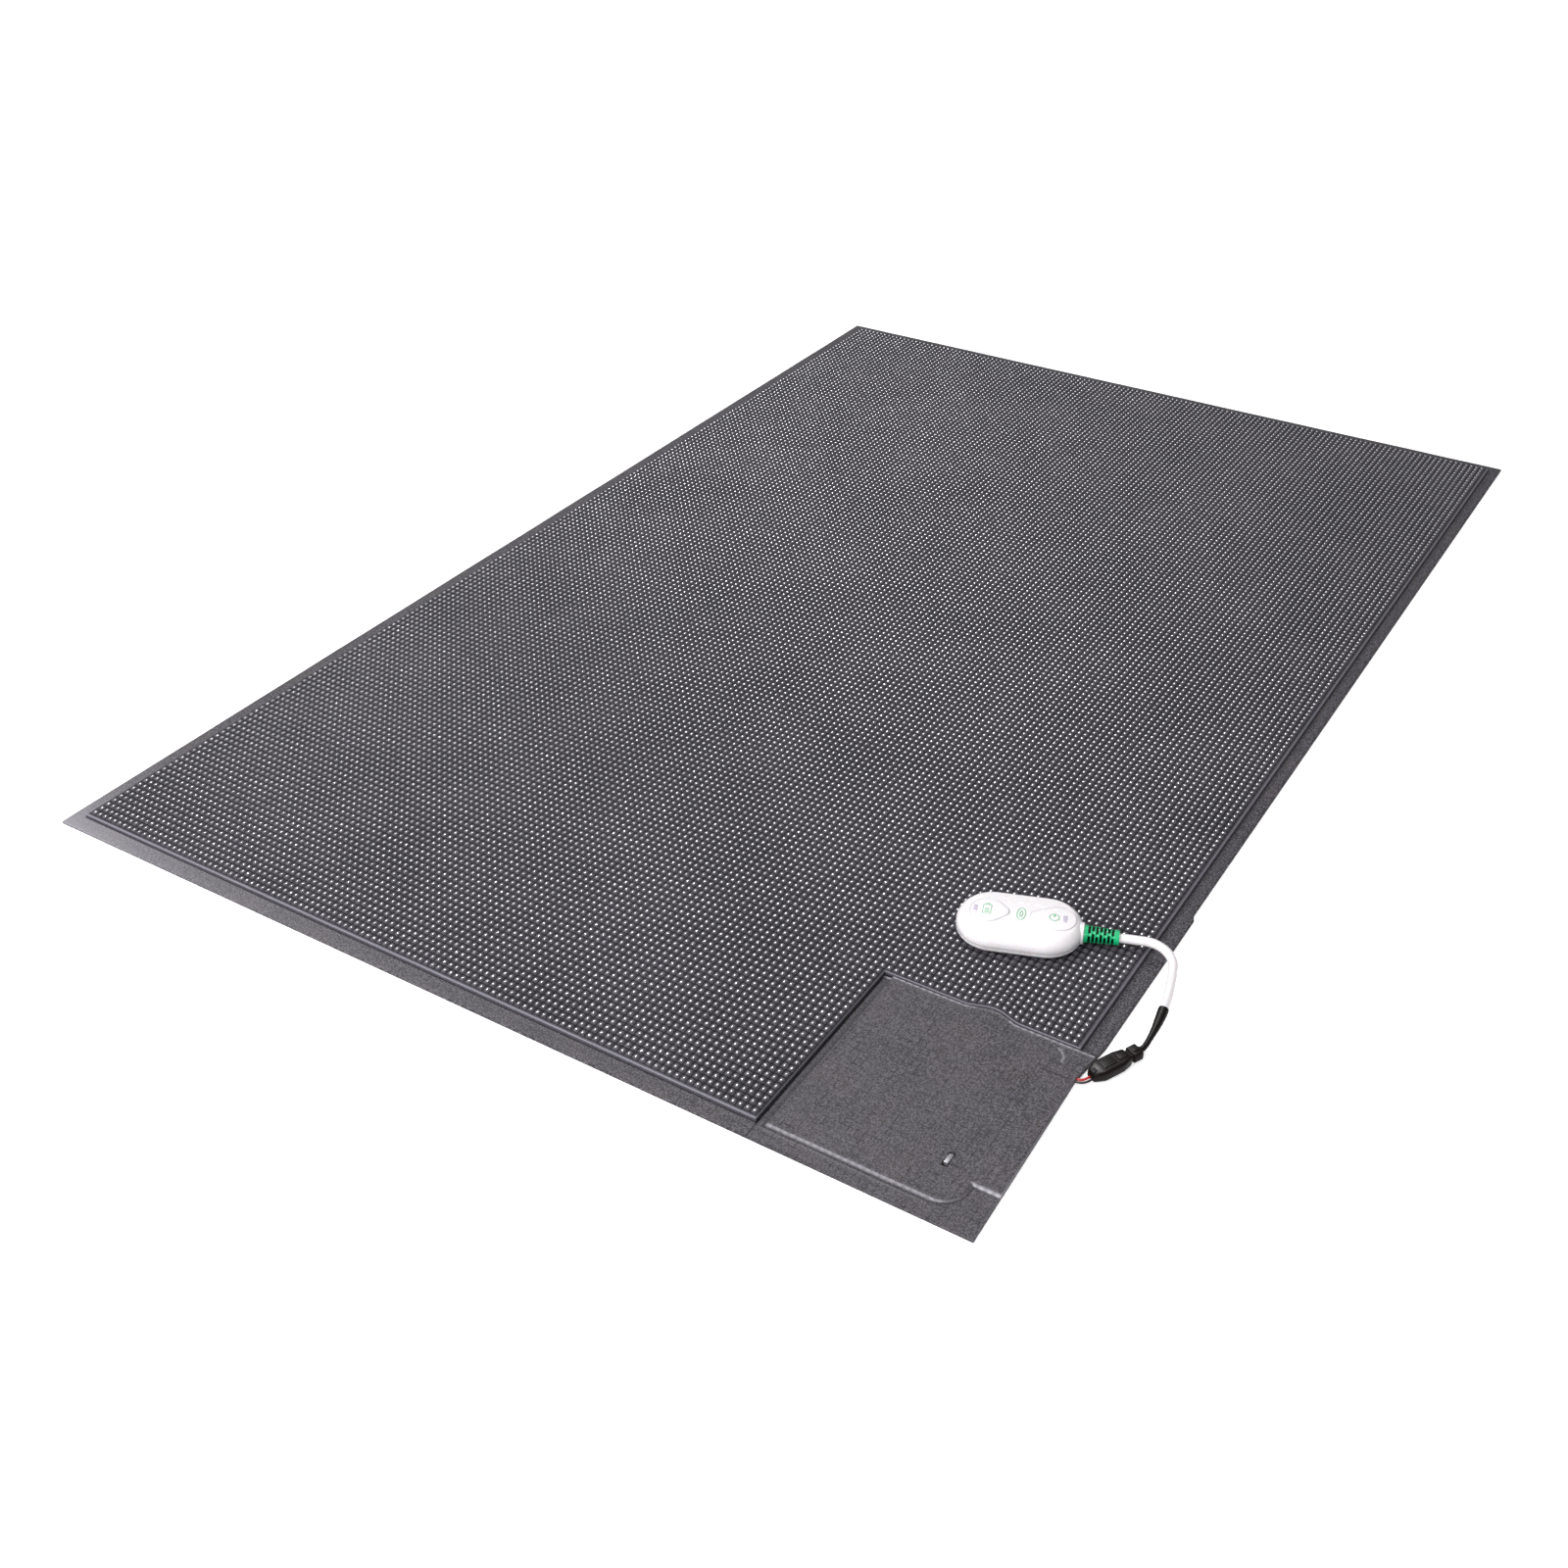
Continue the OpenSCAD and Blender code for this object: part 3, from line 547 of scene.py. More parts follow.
MATERIALS = {
    "tread_vinyl": tread_vinyl(),
    "foam": open_foam(),
    "board_green": board_green(),
    "light_window": lens(),
    # Darker and lighter tone, strength of the creases
    **made(flat_vinyl, {
        "rim_vinyl": ("1b1a1e", "242227", 0.45),
        "panel_vinyl": ("2c2a2e", "37343a", 1.0),
        "backing_vinyl": ("1c1b1f", "252328", 0.2),
    }),
    # Colour, roughness
    **made(metal, {
        "foil": ("c8cacc", 0.35),
        "copper": ("c98a5c", 0.35),
        "tinned_brass": ("cfc39a", 0.3),
        "gold_pins": ("d8b45a", 0.25),
        "cell_steel": ("d3d5d8", 0.22),
        "spring_steel": ("c4c6c9", 0.28),
        "module_can": ("bfc2c6", 0.32),
        "screw_steel": ("b4b7bb", 0.3),
    }),
    # Colour, roughness, mottle, coat, subsurface, grit, shine
    **made(plastic, {
        "stiffener_plastic": ("26262a", 0.5),
        "red_insulation": ("c3202a", 0.35, 0.08),
        "black_insulation": ("18171a", 0.38, 0.1),
        "tie_plastic": ("67666a", 0.4),
        "connector_black": ("130c0a", 0.4, 0.2, 0, 0, 0.04, 0.1),
        "case_white": ("efebee", 0.24, 0.01, 0.3, 0.1, 0.004),
        # Painted shade: the pad lines are a little greyer than the case
        "case_line": ("cac4ca", 0.3, 0.01, 0.3, 0.1, 0.004),
        "seal_rubber": ("a9a2a8", 0.6),
        "chip_black": ("1a1a1c", 0.45),
        "led_body": ("f2efdc", 0.3),
        "boot_green": ("00b374", 0.2, 0.05, 1.0, 0.05, 0.01, 0.4),
        # Painted shade for the faces deep in the boot's slots
        "boot_slot": ("002a14", 0.5, 0.1, 0, 0, 0.01, 0.1),
        "cable_white": ("ece8eb", 0.36, 0.015, 0.1, 0.15, 0.008),
        "sleeve_black": ("120c0b", 0.45, 0.2, 0, 0, 0.05, 0.1),
        "print_green": ("64b07a", 0.45, 0.05),
        # Painted shade for the floors of the tie holes
        "hole_dark": ("1c1111", 0.6),
    }),
}


# ---- Tread ----

# Widths of the smooth shoulder on the left and right sides, on the near and far sides, and at the panel
SIDE_SHOULDER = 2.4
END_SHOULDER = 2.0
PANEL_SHOULDER = 0.9
BUMP_H = 1.0
# A bump's section: share of its pitch, and share of its height
BUMP_STEPS = ((0.0, 0.0), (0.3, 1.0), (0.7, 1.0))
# How much lower than the highest a bump may be, as a share
BUMP_VARY = 0.14
# How far the tread sags between its slow waves, and how wide those are
SAG = 0.25
SAG_REACH = 110
# The panel's bay bends the rows of bumps this far from it
BAY_FADE = 25
# The shoulder's section: share of its width, and share of the way down
SHOULDER = ((0.2, 0.0), (0.45, 0.04), (0.67, 0.18), (0.83, 0.45), (0.96, 0.8), (1.0, 1.0))
SKIRT_W = 2.0
TILES = ("tread_near", "tread_middle", "tread_far")


def bay_of_tread():
    """Middle, half width and depth of the shallow bay in the tread over the corner panel."""
    x, y, _ = np.array(points_mm("cover_field")).T
    found = (x > PANEL_LO.x + 1) & (x < TREAD_HI.x - 3) & (y > PANEL_HI.y - 1) & (y < PANEL_HI.y + 10)
    lo, hi = x[found].min(), x[found].max()
    return (lo + hi) / 2, (hi - lo) / 2, y[found].max() - PANEL_HI.y


BAY_X, BAY_HALF, BAY_DEPTH = bay_of_tread()


def bay_shift(x):
    """How far the edge between the tread and the panel moves away from the panel at x."""
    share = np.clip(np.abs(x - BAY_X) / (BAY_HALF + 2), 0, 1)
    return BAY_DEPTH * np.cos(share * math.pi / 2) ** 2


def bump_lines(stops, pitch):
    """Places of the grid lines, how high each is up a bump, and where it is counted in bumps."""
    places, rises, turns = [], [], []
    done = 0
    for a, b in zip(stops, stops[1:]):
        count = round((b - a) / pitch)
        for k in range(count):
            for share, rise in BUMP_STEPS:
                places.append(a + (k + share) * (b - a) / count)
                rises.append(rise)
                turns.append(done + k + share)
        done += count
    return np.array(places + [stops[-1]]), np.array(rises + [0]), np.array(turns + [done])


class TreadGrid:
    """Points of the whole bumped field on a grid, with the corner panel's notch left to the tiles."""

    def __init__(self):
        inner_x, inner_y = PANEL_LO.x - PANEL_SHOULDER, PANEL_HI.y + PANEL_SHOULDER
        xs = (TREAD_LO.x + SIDE_SHOULDER, inner_x, TREAD_HI.x - SIDE_SHOULDER)
        ys = (TREAD_LO.y + END_SHOULDER, inner_y, TREAD_HI.y - END_SHOULDER)
        x, x_rise, x_turn = bump_lines(xs, BUMP_PITCH[0])
        y, y_rise, y_turn = bump_lines(ys, BUMP_PITCH[1])
        self.notch = (int(np.argmin(abs(x - inner_x))), int(np.argmin(abs(y - inner_y))))
        self.x, self.y = np.meshgrid(x, y)
        fade = 1 - ease(inner_y, inner_y + BAY_FADE, self.y)
        self.y = self.y + np.where(self.x > inner_x, bay_shift(self.x) * fade, 0)
        rng = np.random.default_rng(SEED)
        counts = [len(lines) // len(BUMP_STEPS) + 1 for lines in (y, x)]
        bumps = rng.uniform(1 - BUMP_VARY, 1, counts)
        height = bumps[np.floor(y_turn).astype(int)][:, np.floor(x_turn).astype(int)]
        sag = SAG * (0.5 + 0.5 * wander_grid(self.x, self.y, SAG_REACH))
        valley = TREAD_HI.z - BUMP_H - sag
        self.z = valley + BUMP_H * np.outer(y_rise, x_rise) * height
        self.turns = np.dstack(np.meshgrid(x_turn, y_turn))
        self.rows, self.columns = len(y), len(x)


def grid_outline(corners, widths):
    """Grid points round a polygon, each with its outward step for the sides' own widths, its outward
    step for sides of width 1, and whether it is a corner."""
    sides = list(zip(corners, corners[1:] + corners[:1]))
    normals = [Vector((np.sign(b[1] - a[1]), -np.sign(b[0] - a[0]), 0)) for a, b in sides]
    stops = []
    for side, (a, b) in enumerate(sides):
        di, dj = int(np.sign(b[0] - a[0])), int(np.sign(b[1] - a[1]))
        for k in range(abs(b[0] - a[0]) + abs(b[1] - a[1])):
            meeting = (side - 1, side) if k == 0 else (side,)
            out = sum((normals[s] * widths[s] for s in meeting), Vector())
            whole = sum((normals[s] for s in meeting), Vector())
            stops.append((a[0] + k * di, a[1] + k * dj, out, whole, k == 0))
    return stops


def add_points(points, new_points):
    """Adds points and returns their numbers."""
    start = len(points)
    points.extend(new_points)
    return list(range(start, len(points)))


def add_ring(points, faces, ring, new_points):
    """Adds a ring of as many points and the quads up to it. Returns the new ring."""
    new = add_points(points, new_points)
    faces += band(ring, new)
    return new


def add_coarse_ring(points, faces, ring, kept, new_points):
    """Adds a ring with a point only at the kept places, and one face for each side up to it."""
    new = add_points(points, new_points)
    for k, here in enumerate(kept):
        there = kept[(k + 1) % len(kept)]
        span = range(here, there + 1) if there > here else [*range(here, len(ring)), *range(there + 1)]
        faces.append((new[k], new[(k + 1) % len(kept)], *(ring[s] for s in reversed(span))))
    return new


def tile_outline(grid, first, last):
    """Corners of a tile in grid lines, and the shoulder's width along each of its sides."""
    right, (notch_i, notch_j) = grid.columns - 1, grid.notch
    near = END_SHOULDER if first == 0 else 0
    far = END_SHOULDER if last == grid.rows - 1 else 0
    corners = [(0, first), (right, first)]
    widths = [near]
    if first < notch_j:
        corners = [(0, first), (notch_i, first), (notch_i, notch_j), (right, notch_j)]
        widths = [near, PANEL_SHOULDER, PANEL_SHOULDER]
    return corners + [(right, last), (0, last)], widths + [SIDE_SHOULDER, far, SIDE_SHOULDER]


def tread_tile(name, grid, first, last):
    """The bumped field between two grid rows, with its shoulder, skirt and underside."""
    notch_i, notch_j = grid.notch
    rows = slice(first, last + 1)
    points = [Vector(p) for p in zip(*(a[rows].ravel() for a in (grid.x, grid.y, grid.z)))]
    marks = [(*turn, 0) for turn in grid.turns[rows].reshape(-1, 2)]
    faces = []
    for j in range(first, last):
        faces += row_faces(j - first, grid.columns, notch_i if j < notch_j else grid.columns - 1)
    stops = grid_outline(*tile_outline(grid, first, last))
    edge = [(j - first) * grid.columns + i for i, j, *_ in stops]
    ring = edge
    for out, drop in SHOULDER:
        new = []
        for stop, index in zip(stops, edge):
            p = points[index] + stop[2] * out
            new.append(Vector((p.x, p.y, p.z + (TREAD_LO.z - p.z) * drop)))
            marks.append((*marks[index][:2], 1 + drop if stop[2].length else 0))
        ring = add_ring(points, faces, ring, new)
    kept = [
        k for k, (i, j, _, _, corner) in enumerate(stops)
        if corner or (j == notch_j and i > notch_i and bay_shift(points[edge[k]].x) > 0)
    ]
    inner = [points[ring[k]] - stops[k][3] * SKIRT_W for k in kept]
    low = add_coarse_ring(points, faces, ring, kept, inner)
    slab_z = box_mm("upper_electrode")[1].z
    high = add_ring(points, faces, low, [Vector((p.x, p.y, slab_z)) for p in inner])
    faces.append(tuple(high))
    marks += [(0, 0, 1)] * (len(points) - len(marks))
    return build(name, points, faces, sharp=75, marks=("turns", marks))


def make_tread():
    grid = TreadGrid()
    bumps = (grid.rows - 1) // len(BUMP_STEPS)
    stops = [round(bumps * k / len(TILES)) * len(BUMP_STEPS) for k in range(len(TILES) + 1)]
    for name, first, last in zip(TILES, stops, stops[1:]):
        stand_in(tread_tile(name, grid, first, last), "cover_field")


# ---- Rim ----

RIM_UNDER = -0.75
# Across the rim: share of its width from the tread outwards, and height above its flat part
RIM_SECTION = (
    (0.0, RIM_UNDER), (0.0, 0.2), (0.02, 0.32), (0.06, 0.28), (0.1, 0.06), (0.17, 0.0),
    (0.35, 0.0), (0.55, 0.0), (0.75, 0.0), (0.9, -0.02), (0.97, -0.12), (1.0, -0.4), (1.0, RIM_UNDER),
)
RIM_GAP = 0.12
RIM_STEP = 4
# Height and width of the rim's slow waves
RIM_WAVE = 0.22
RIM_WAVE_REACH = 45
# Strength of the painted light at the near left corner, how far it reaches along the near side, and how much less
# inwards
CORNER_LIGHT = 0.42
CORNER_LIGHT_REACH = 110
CORNER_LIGHT_LEAN = 3
# A step in the mat's edge is drawn over this length
EDGE_STEP = 0.6


def right_edge():
    """The mat's right edge as a function of y, from the bottom sheet's own outline."""
    outline = {(round(y, 3), -round(x, 3)) for x, y, _ in points_mm("base_sheet") if x > 0}
    ys, xs = np.array(sorted(outline)).T
    ys[1:][np.diff(ys) < 0.01] += EDGE_STEP
    return lambda y: np.interp(y, ys, -xs)


RIGHT_EDGE = right_edge()


def rim_corners(lo, hi):
    """From the panel round three corners to the panel."""
    corners = (PANEL_LO.x, lo.y), (lo.x, lo.y), (lo.x, hi.y), (hi.x, hi.y), (hi.x, PANEL_HI.y)
    return [np.array(p) for p in corners]


def rim_stations():
    """Inner and outer points along the rim."""
    gap = Vector((RIM_GAP, RIM_GAP, 0))
    inner = rim_corners(TREAD_LO - gap, TREAD_HI + gap)
    outer = rim_corners(MAT_LO, MAT_HI)
    stations = []
    for a, b, c, d in zip(inner, inner[1:], outer, outer[1:]):
        count = round(np.linalg.norm(b - a) / RIM_STEP)
        stations += [(a + (b - a) * (k / count), c + (d - c) * (k / count)) for k in range(count)]
    return stations + [(inner[-1], outer[-1])]


def rim_light(x, y):
    """Painted light: the rim is lighter towards the mat's near left corner, most along the near side."""
    return CORNER_LIGHT * math.exp(-((x - MAT_LO.x) + CORNER_LIGHT_LEAN * (y - MAT_LO.y)) / CORNER_LIGHT_REACH)


def make_rim():
    rings, marks = [], []
    for a, b in rim_stations():
        if b[0] > TREAD_HI.x:
            b = np.array((RIGHT_EDGE(b[1]), b[1]))
        ring = []
        for share, rise in RIM_SECTION:
            x, y = a + (b - a) * share
            wave = RIM_WAVE * wander(x, y, RIM_WAVE_REACH) * math.sin(math.pi * min(share, 0.75))
            ring.append(Vector((x, y, RIM_HI.z + rise + (wave if rise > RIM_UNDER else 0))))
            # Painted light towards the near left corner
            marks.append((rim_light(x, y), 0, 0))
        rings.append(ring)
    points = [p for ring in rings for p in ring]
    faces = ring_faces(len(rings), len(rings[0]))
    stand_in(build("rim", points, faces, sharp=50, marks=("marks", marks)), "cover_rim")


# ---- Corner panel ----

PANEL_STEP = 0.5
PLATE_R = 14
PLATE_RIGHT = MAT_HI.x - 15
PLATE_NOTCH_Y = MAT_LO.y + 28.5
PLATE_SKIN = PANEL_HI.z - PLATE_HI.z
PLATE_LEFT = PLATE_LO.x - PLATE_SKIN
PLATE_LOW = PLATE_LO.y - PLATE_SKIN
# The straight crease, and the middle of the bow-shaped one over it
CREASE_X = MAT_HI.x - 22
CREASE_Y = PANEL_HI.y - 21
BOW_Y = PANEL_HI.y - 12
BOW_R = 7.5
# Beads that stand up from the panel, and lines that are pressed down into it
OUTLINE_UP = 0.14
SECOND_UP = 0.2
WELD_UP = 0.9
HOLE_LIP_UP = 0.2
RIBS_UP = 0.03
GUTTER_DOWN = 0.15
CREASE_DOWN = 0.3
BOW_DOWN = 0.25
# Slow waves in the panel: height, width and seed
PANEL_WAVES = ((0.16, 38, 3), (0.07, 11, 4))
HOLE_SIZE = (3.4, 2.6)
HOLE_DEPTH = 1.9
HOLE_INSET = 0.5


def plate_depth(x, y):
    """Distance in from the raised plate's outline, negative outside it."""
    main = np.minimum(np.minimum(x - PLATE_LEFT, y - PLATE_LOW), PLATE_RIGHT - x)
    cx, cy = PLATE_RIGHT - PLATE_R, PLATE_LOW + PLATE_R
    main = np.where((x > cx) & (y < cy), PLATE_R - np.hypot(x - cx, y - cy), main)
    return np.maximum(main, np.minimum(x - PLATE_LEFT, y - PLATE_NOTCH_Y))


def ridge(distance, width):
    """1 along a line and 0 away from it."""
    return np.exp(-((distance / width) ** 2))


def tie_hole_depth(x, y):
    """Distance in from the edge of the nearer tie hole."""
    away = TIE_HI.y - TIE_MID.y - HOLE_INSET
    dx = HOLE_SIZE[0] / 2 - np.abs(x - TIE_MID.x)
    dy = HOLE_SIZE[1] / 2 - np.abs(np.abs(y - TIE_MID.y) - away)
    return np.minimum(dx, dy)


def weld_line(x, y):
    """The bead along the foot of the tread, which fades where the tread's bay is."""
    top = PANEL_HI.y + bay_shift(x) - y
    return ridge(top - 1.3, 0.45) * (1 - 0.75 * ease(0.15, 0.6, bay_shift(x) / BAY_DEPTH))


def second_line(x, y):
    """The line that runs just outside the near side of the plate."""
    return ridge(plate_depth(x, y) + 2.1, 0.45) * (y < PLATE_LOW + 2) * (x < PLATE_RIGHT - PLATE_R)


def edge_creases(x, y):
    """A straight crease and a bow-shaped one by the mat's right edge."""
    straight = ridge(y - CREASE_Y, 0.6) * ease(0, 3, x - CREASE_X) * ease(0, 3, MAT_HI.x - 4 - x)
    bow = ridge(np.hypot(x - CREASE_X, y - BOW_Y) - BOW_R, 0.5)
    return straight, bow * (x > CREASE_X + 2) * (y > BOW_Y - 1)


def panel_marks(x, y):
    """How strongly each point is drawn as a line of painted highlight, on bead tops and edges that catch the
    light, and as one of painted shade, in creases, gutters and at the feet of walls.
    """
    depth = plate_depth(x, y)
    near = ease(3, 0, y - PLATE_LOW)
    notch = ridge(y - PLATE_NOTCH_Y, 0.5) * ease(-1, 0, x - (PLATE_RIGHT - 1))
    ribs = 0.72 + 0.28 * np.cos(2 * math.pi * x / BUMP_PITCH[0])
    outline = ridge(depth - 0.3, 0.3) * (0.3 + 0.7 * near * ribs)
    straight, bow = edge_creases(x, y)
    # Painted highlight along the plate's outline, its notch, the second line, the weld bead and the bow crease
    bright = outline + 0.95 * notch * ribs + 0.1 * second_line(x, y) + 0.85 * weld_line(x, y) * ribs
    bright = np.clip(bright + 0.45 * bow, 0, 1)
    gutter = ease(-5, -1, depth) * ease(0, -1, depth) * (x < PLATE_LEFT + 1)
    # Painted shade beside the plate, in its gutter, in the straight crease, at the tread's foot and along the
    # tread's corner line
    dark = 0.5 * ridge(depth + 0.6, 0.5) + 0.35 * gutter + 0.6 * straight
    dark += 0.7 * ridge(PANEL_HI.y + bay_shift(x) - y, 0.6) + 0.25 * ridge(depth + 1.3, 0.5) * near
    dark += ridge(x - PANEL_LO.x - 0.3, 0.8) * np.where(y < TREAD_LO.y, 1, 0.8)
    return bright, np.clip(dark, 0, 1)


def panel_height(x, y):
    depth = plate_depth(x, y)
    straight, bow = edge_creases(x, y)
    z = RIM_HI.z + (PANEL_HI.z - RIM_HI.z) * ease(-0.4, 1.2, depth)
    z += OUTLINE_UP * ridge(depth - 1.8, 0.8) - GUTTER_DOWN * ridge(depth + 1.0, 0.5)
    z += SECOND_UP * second_line(x, y) + WELD_UP * weld_line(x, y) * ease(-3, 0, x - PLATE_LEFT)
    z -= CREASE_DOWN * straight + BOW_DOWN * bow
    z += HOLE_LIP_UP * ridge(tie_hole_depth(x, y) + 0.5, 0.4)
    z -= HOLE_DEPTH * ease(0, 0.3, tie_hole_depth(x, y))
    z += RIBS_UP * np.cos(2 * math.pi * x / BUMP_PITCH[0]) * ease(-1, 2, depth)
    for height, reach, seed in PANEL_WAVES:
        z += height * wander_grid(x, y, reach, seed)
    return z


def make_panel():
    columns = round((PANEL_HI.x - PANEL_LO.x) / PANEL_STEP) + 1
    rows = round((PANEL_HI.y - PANEL_LO.y) / PANEL_STEP) + 1
    across, along = np.meshgrid(np.linspace(0, 1, columns), np.linspace(0, 1, rows))
    y = PANEL_LO.y + along * (PANEL_HI.y - PANEL_LO.y)
    left = PANEL_LO.x + 0.1
    x = left + across * (RIGHT_EDGE(y) - left)
    y = y + bay_shift(x) * ease(PANEL_HI.y - 12, PANEL_HI.y, y)
    z = panel_height(x, y)
    points = [Vector(p) for p in zip(x.ravel(), y.ravel(), z.ravel())]
    faces = []
    for j in range(rows - 1):
        faces += row_faces(j, columns, columns - 1)
    corners = [(0, 0), (columns - 1, 0), (columns - 1, rows - 1), (0, rows - 1)]
    stops = grid_outline(corners, [0] * len(corners))
    edge = [j * columns + i for i, j, *_ in stops]
    waist = int(np.argmin(RIGHT_EDGE(y[:rows - 1, -1])))
    kept = [
        k for k, (i, j, _, _, corner) in enumerate(stops)
        if corner or (i == columns - 1 and j == waist) or (j == rows - 1 and bay_shift(x[j, i]) > 0)
    ]
    floor = [Vector((points[edge[k]].x, points[edge[k]].y, PANEL_LO.z)) for k in kept]
    low = add_coarse_ring(points, faces, edge, kept, floor)
    faces.append(tuple(low))
    # The panel's painted highlight and painted shade lines go to the material as marks
    bright, dark = (mark.ravel() for mark in panel_marks(x, y))
    marks = list(zip(bright, dark, 0 * dark)) + [(0, 0, 0)] * (len(points) - bright.size)
    piece = build("corner_cover", points, faces, sharp=60, marks=("marks", marks))
    stand_in(piece, "corner_panel")
    # Painted shade: the floors of the tie holes are dark
    paint(piece, "hole_dark", lambda p: tie_hole_depth(p.x, p.y) > 0.15)


# ---- Strap over the leads ----

TIE_INSET = 0.85
TIE_DROP = 0.2
STRAP_H = 0.6
LEG_W = 0.9


def make_tie():
    """A strap with a leg in each of the panel's holes."""
    width, length = TIE_HI.x - TIE_LO.x, TIE_HI.y - TIE_LO.y - 2 * TIE_INSET
    top = TIE_HI.z - TIE_DROP
    here = Matrix.Translation((TIE_MID.x, TIE_MID.y, 0))
    strap = bar_rings(soft_bar(-length / 2, length / 2, width, STRAP_H, 0.2, 0.2, top))
    leg = bar_rings(soft_bar(TIE_LO.z, top, LEG_W, width, 0.3, 0.2))
    parts = [loft("tie", strap, here @ Matrix.Rotation(math.pi / 2, 4, "Z"))]
    for side in (-1, 1):
        aside = Matrix.Translation((0, side * (length / 2 - 0.5), 0))
        parts.append(loft("tie_leg", leg, here @ aside @ Matrix.Rotation(-math.pi / 2, 4, "Y")))
    stand_in(join("lead_strap", parts), "lead_tie")


# ---- Transmitter case ----

BROW_R = 7.5
CROWN_R = 150
CASE_WALL = 1.8
LIP_R = 0.3
CROWN_POINTS = 40
BROW_POINTS = 14
# Points round each of the case's ends and along each of its sides
END_STEPS = 56
SIDE_STEPS = 36
# The pads: radii of the two ends, height, and places of the round end and of the tip along the case
DROP_R = 9.5
DROP_TIP_R = 4.2
DROP_H = 0.4
DROP_LEFT = (-17.8, -10.2)
DROP_RIGHT = (20.8, 9.7)
PAD_LINE_W = 0.6
PAD_LINE_H = 0.2
# The signs: places along the case, width and height of their lines
BATTERY_U = -18
OVAL_U = 0.6
RING_U = 18.4
PRINT_W = 0.62
PRINT_H = 0.05
# How deep a raised line is rooted in the case
LINE_ROOT = 0.3
# A light's lens: inset, and height over the case, or None for the floor of its pocket
LENS_SECTION = ((0, None), (0, 0.05), (0.12, 0.12), (0.5, 0.16), (1.0, 0.17))
# Ring round the root of the strain relief: place along the cable, and radius
COLLAR_SECTION = ((-3.2, 5.96), (-0.5, 6.06), (-0.15, 5.94), (0, 5.56), (0, 3.0))

CASE_HALF = -TOP_LO.x
CASE_R = TOP_HI.y
CASE_C = CASE_HALF - CASE_R
CASE_TOP = TOP_HI.z
SEAM_Z = TOP_LO.z


def crown(r):
    """Height of the case's crown, before its moulded details, r from its spine."""
    return CASE_TOP - CROWN_R + math.sqrt(CROWN_R ** 2 - r * r)


def teardrop(u, v, centre, tip):
    """Distance in from a teardrop's outline: a big circle and a small one, and their tangents."""
    span = abs(tip - centre)
    along = (u - centre) * math.copysign(1, tip - centre)
    away = abs(v)
    slope = (DROP_R - DROP_TIP_R) / span
    rest = math.sqrt(1 - slope * slope)
    k = along * rest - away * slope
    if k < 0:
        return DROP_R - math.hypot(along, away)
    if k > span * rest:
        return DROP_TIP_R - math.hypot(along - span, away)
    return DROP_R - (away * rest + along * slope)


def case_raise(u, v):
    """How far the two teardrop pads stand above the crown."""
    depth = max(teardrop(u, v, *DROP_LEFT), teardrop(u, v, *DROP_RIGHT))
    return DROP_H * float(ease(-0.5, 0.6, depth))


def spine_distance(u, v):
    return math.hypot(max(abs(u) - CASE_C, 0), v)


def case_surface(u, v):
    return crown(spine_distance(u, v)) + case_raise(u, v)


def brow_start():
    """Angle, from straight up, at which the brow's round takes over from the crown."""
    return next(
        a for a in np.linspace(0, math.pi / 2, 400)
        if CASE_TOP - BROW_R + BROW_R * math.cos(a) < crown(CASE_R - BROW_R + BROW_R * math.sin(a))
    )


def case_section(inset):
    """Half of the top shell's section as (distance from the spine, height), from the spine out."""
    start = brow_start()
    reach = CASE_R - BROW_R
    first = reach + BROW_R * math.sin(start)
    section = [(first * k / CROWN_POINTS, None) for k in range(CROWN_POINTS)]
    for k in range(BROW_POINTS + 1):
        a = start + (math.pi / 2 - start) * k / BROW_POINTS
        r = BROW_R - inset
        section.append((reach + r * math.sin(a), CASE_TOP - BROW_R + r * math.cos(a)))
    return [(r, crown(r) - inset if z is None else z) for r, z in section]


def case_stations():
    """(spine point, outward direction) round the case."""
    stations = []
    for side in (1, -1):
        for k in range(END_STEPS):
            a = math.pi * (k / END_STEPS - 0.5) + (0 if side > 0 else math.pi)
            stations.append((side * CASE_C, math.cos(a), math.sin(a)))
        for k in range(SIDE_STEPS):
            stations.append((side * CASE_C * (1 - 2 * k / SIDE_STEPS), 0, side))
    return stations


def make_case_top():
    outer = case_section(0)
    wall_low = [(CASE_R, SEAM_Z + LIP_R), (CASE_R - LIP_R, SEAM_Z)]
    inner = [(CASE_R - CASE_WALL, SEAM_Z)] + list(reversed(case_section(CASE_WALL)))[::4]
    inner[-1] = (0, crown(0) - CASE_WALL)
    rings = []
    for spine, du, dv in case_stations():
        ring = []
        for k, (r, z) in enumerate(outer + wall_low + inner):
            u, v = spine + du * r, dv * r
            lift = case_raise(u, v) if k < len(outer) else 0
            ring.append((u, v, z + lift))
        rings.append(ring)
    stand_in(loft("case_top", rings, POD, loop=True, sharp=50), "pod_top")


def cable_axis(u):
    """A frame with X along the cable where it leaves the case, u along the case."""
    return POD @ Matrix.Translation((u, 0, (BOOT_LO.z + BOOT_HI.z) / 2))


def make_collar():
    """Over both shells, where the strain relief is let into the case."""
    dress(turned("case_collar", COLLAR_SECTION, cable_axis(BOOT_LO.x)), "pod_top")


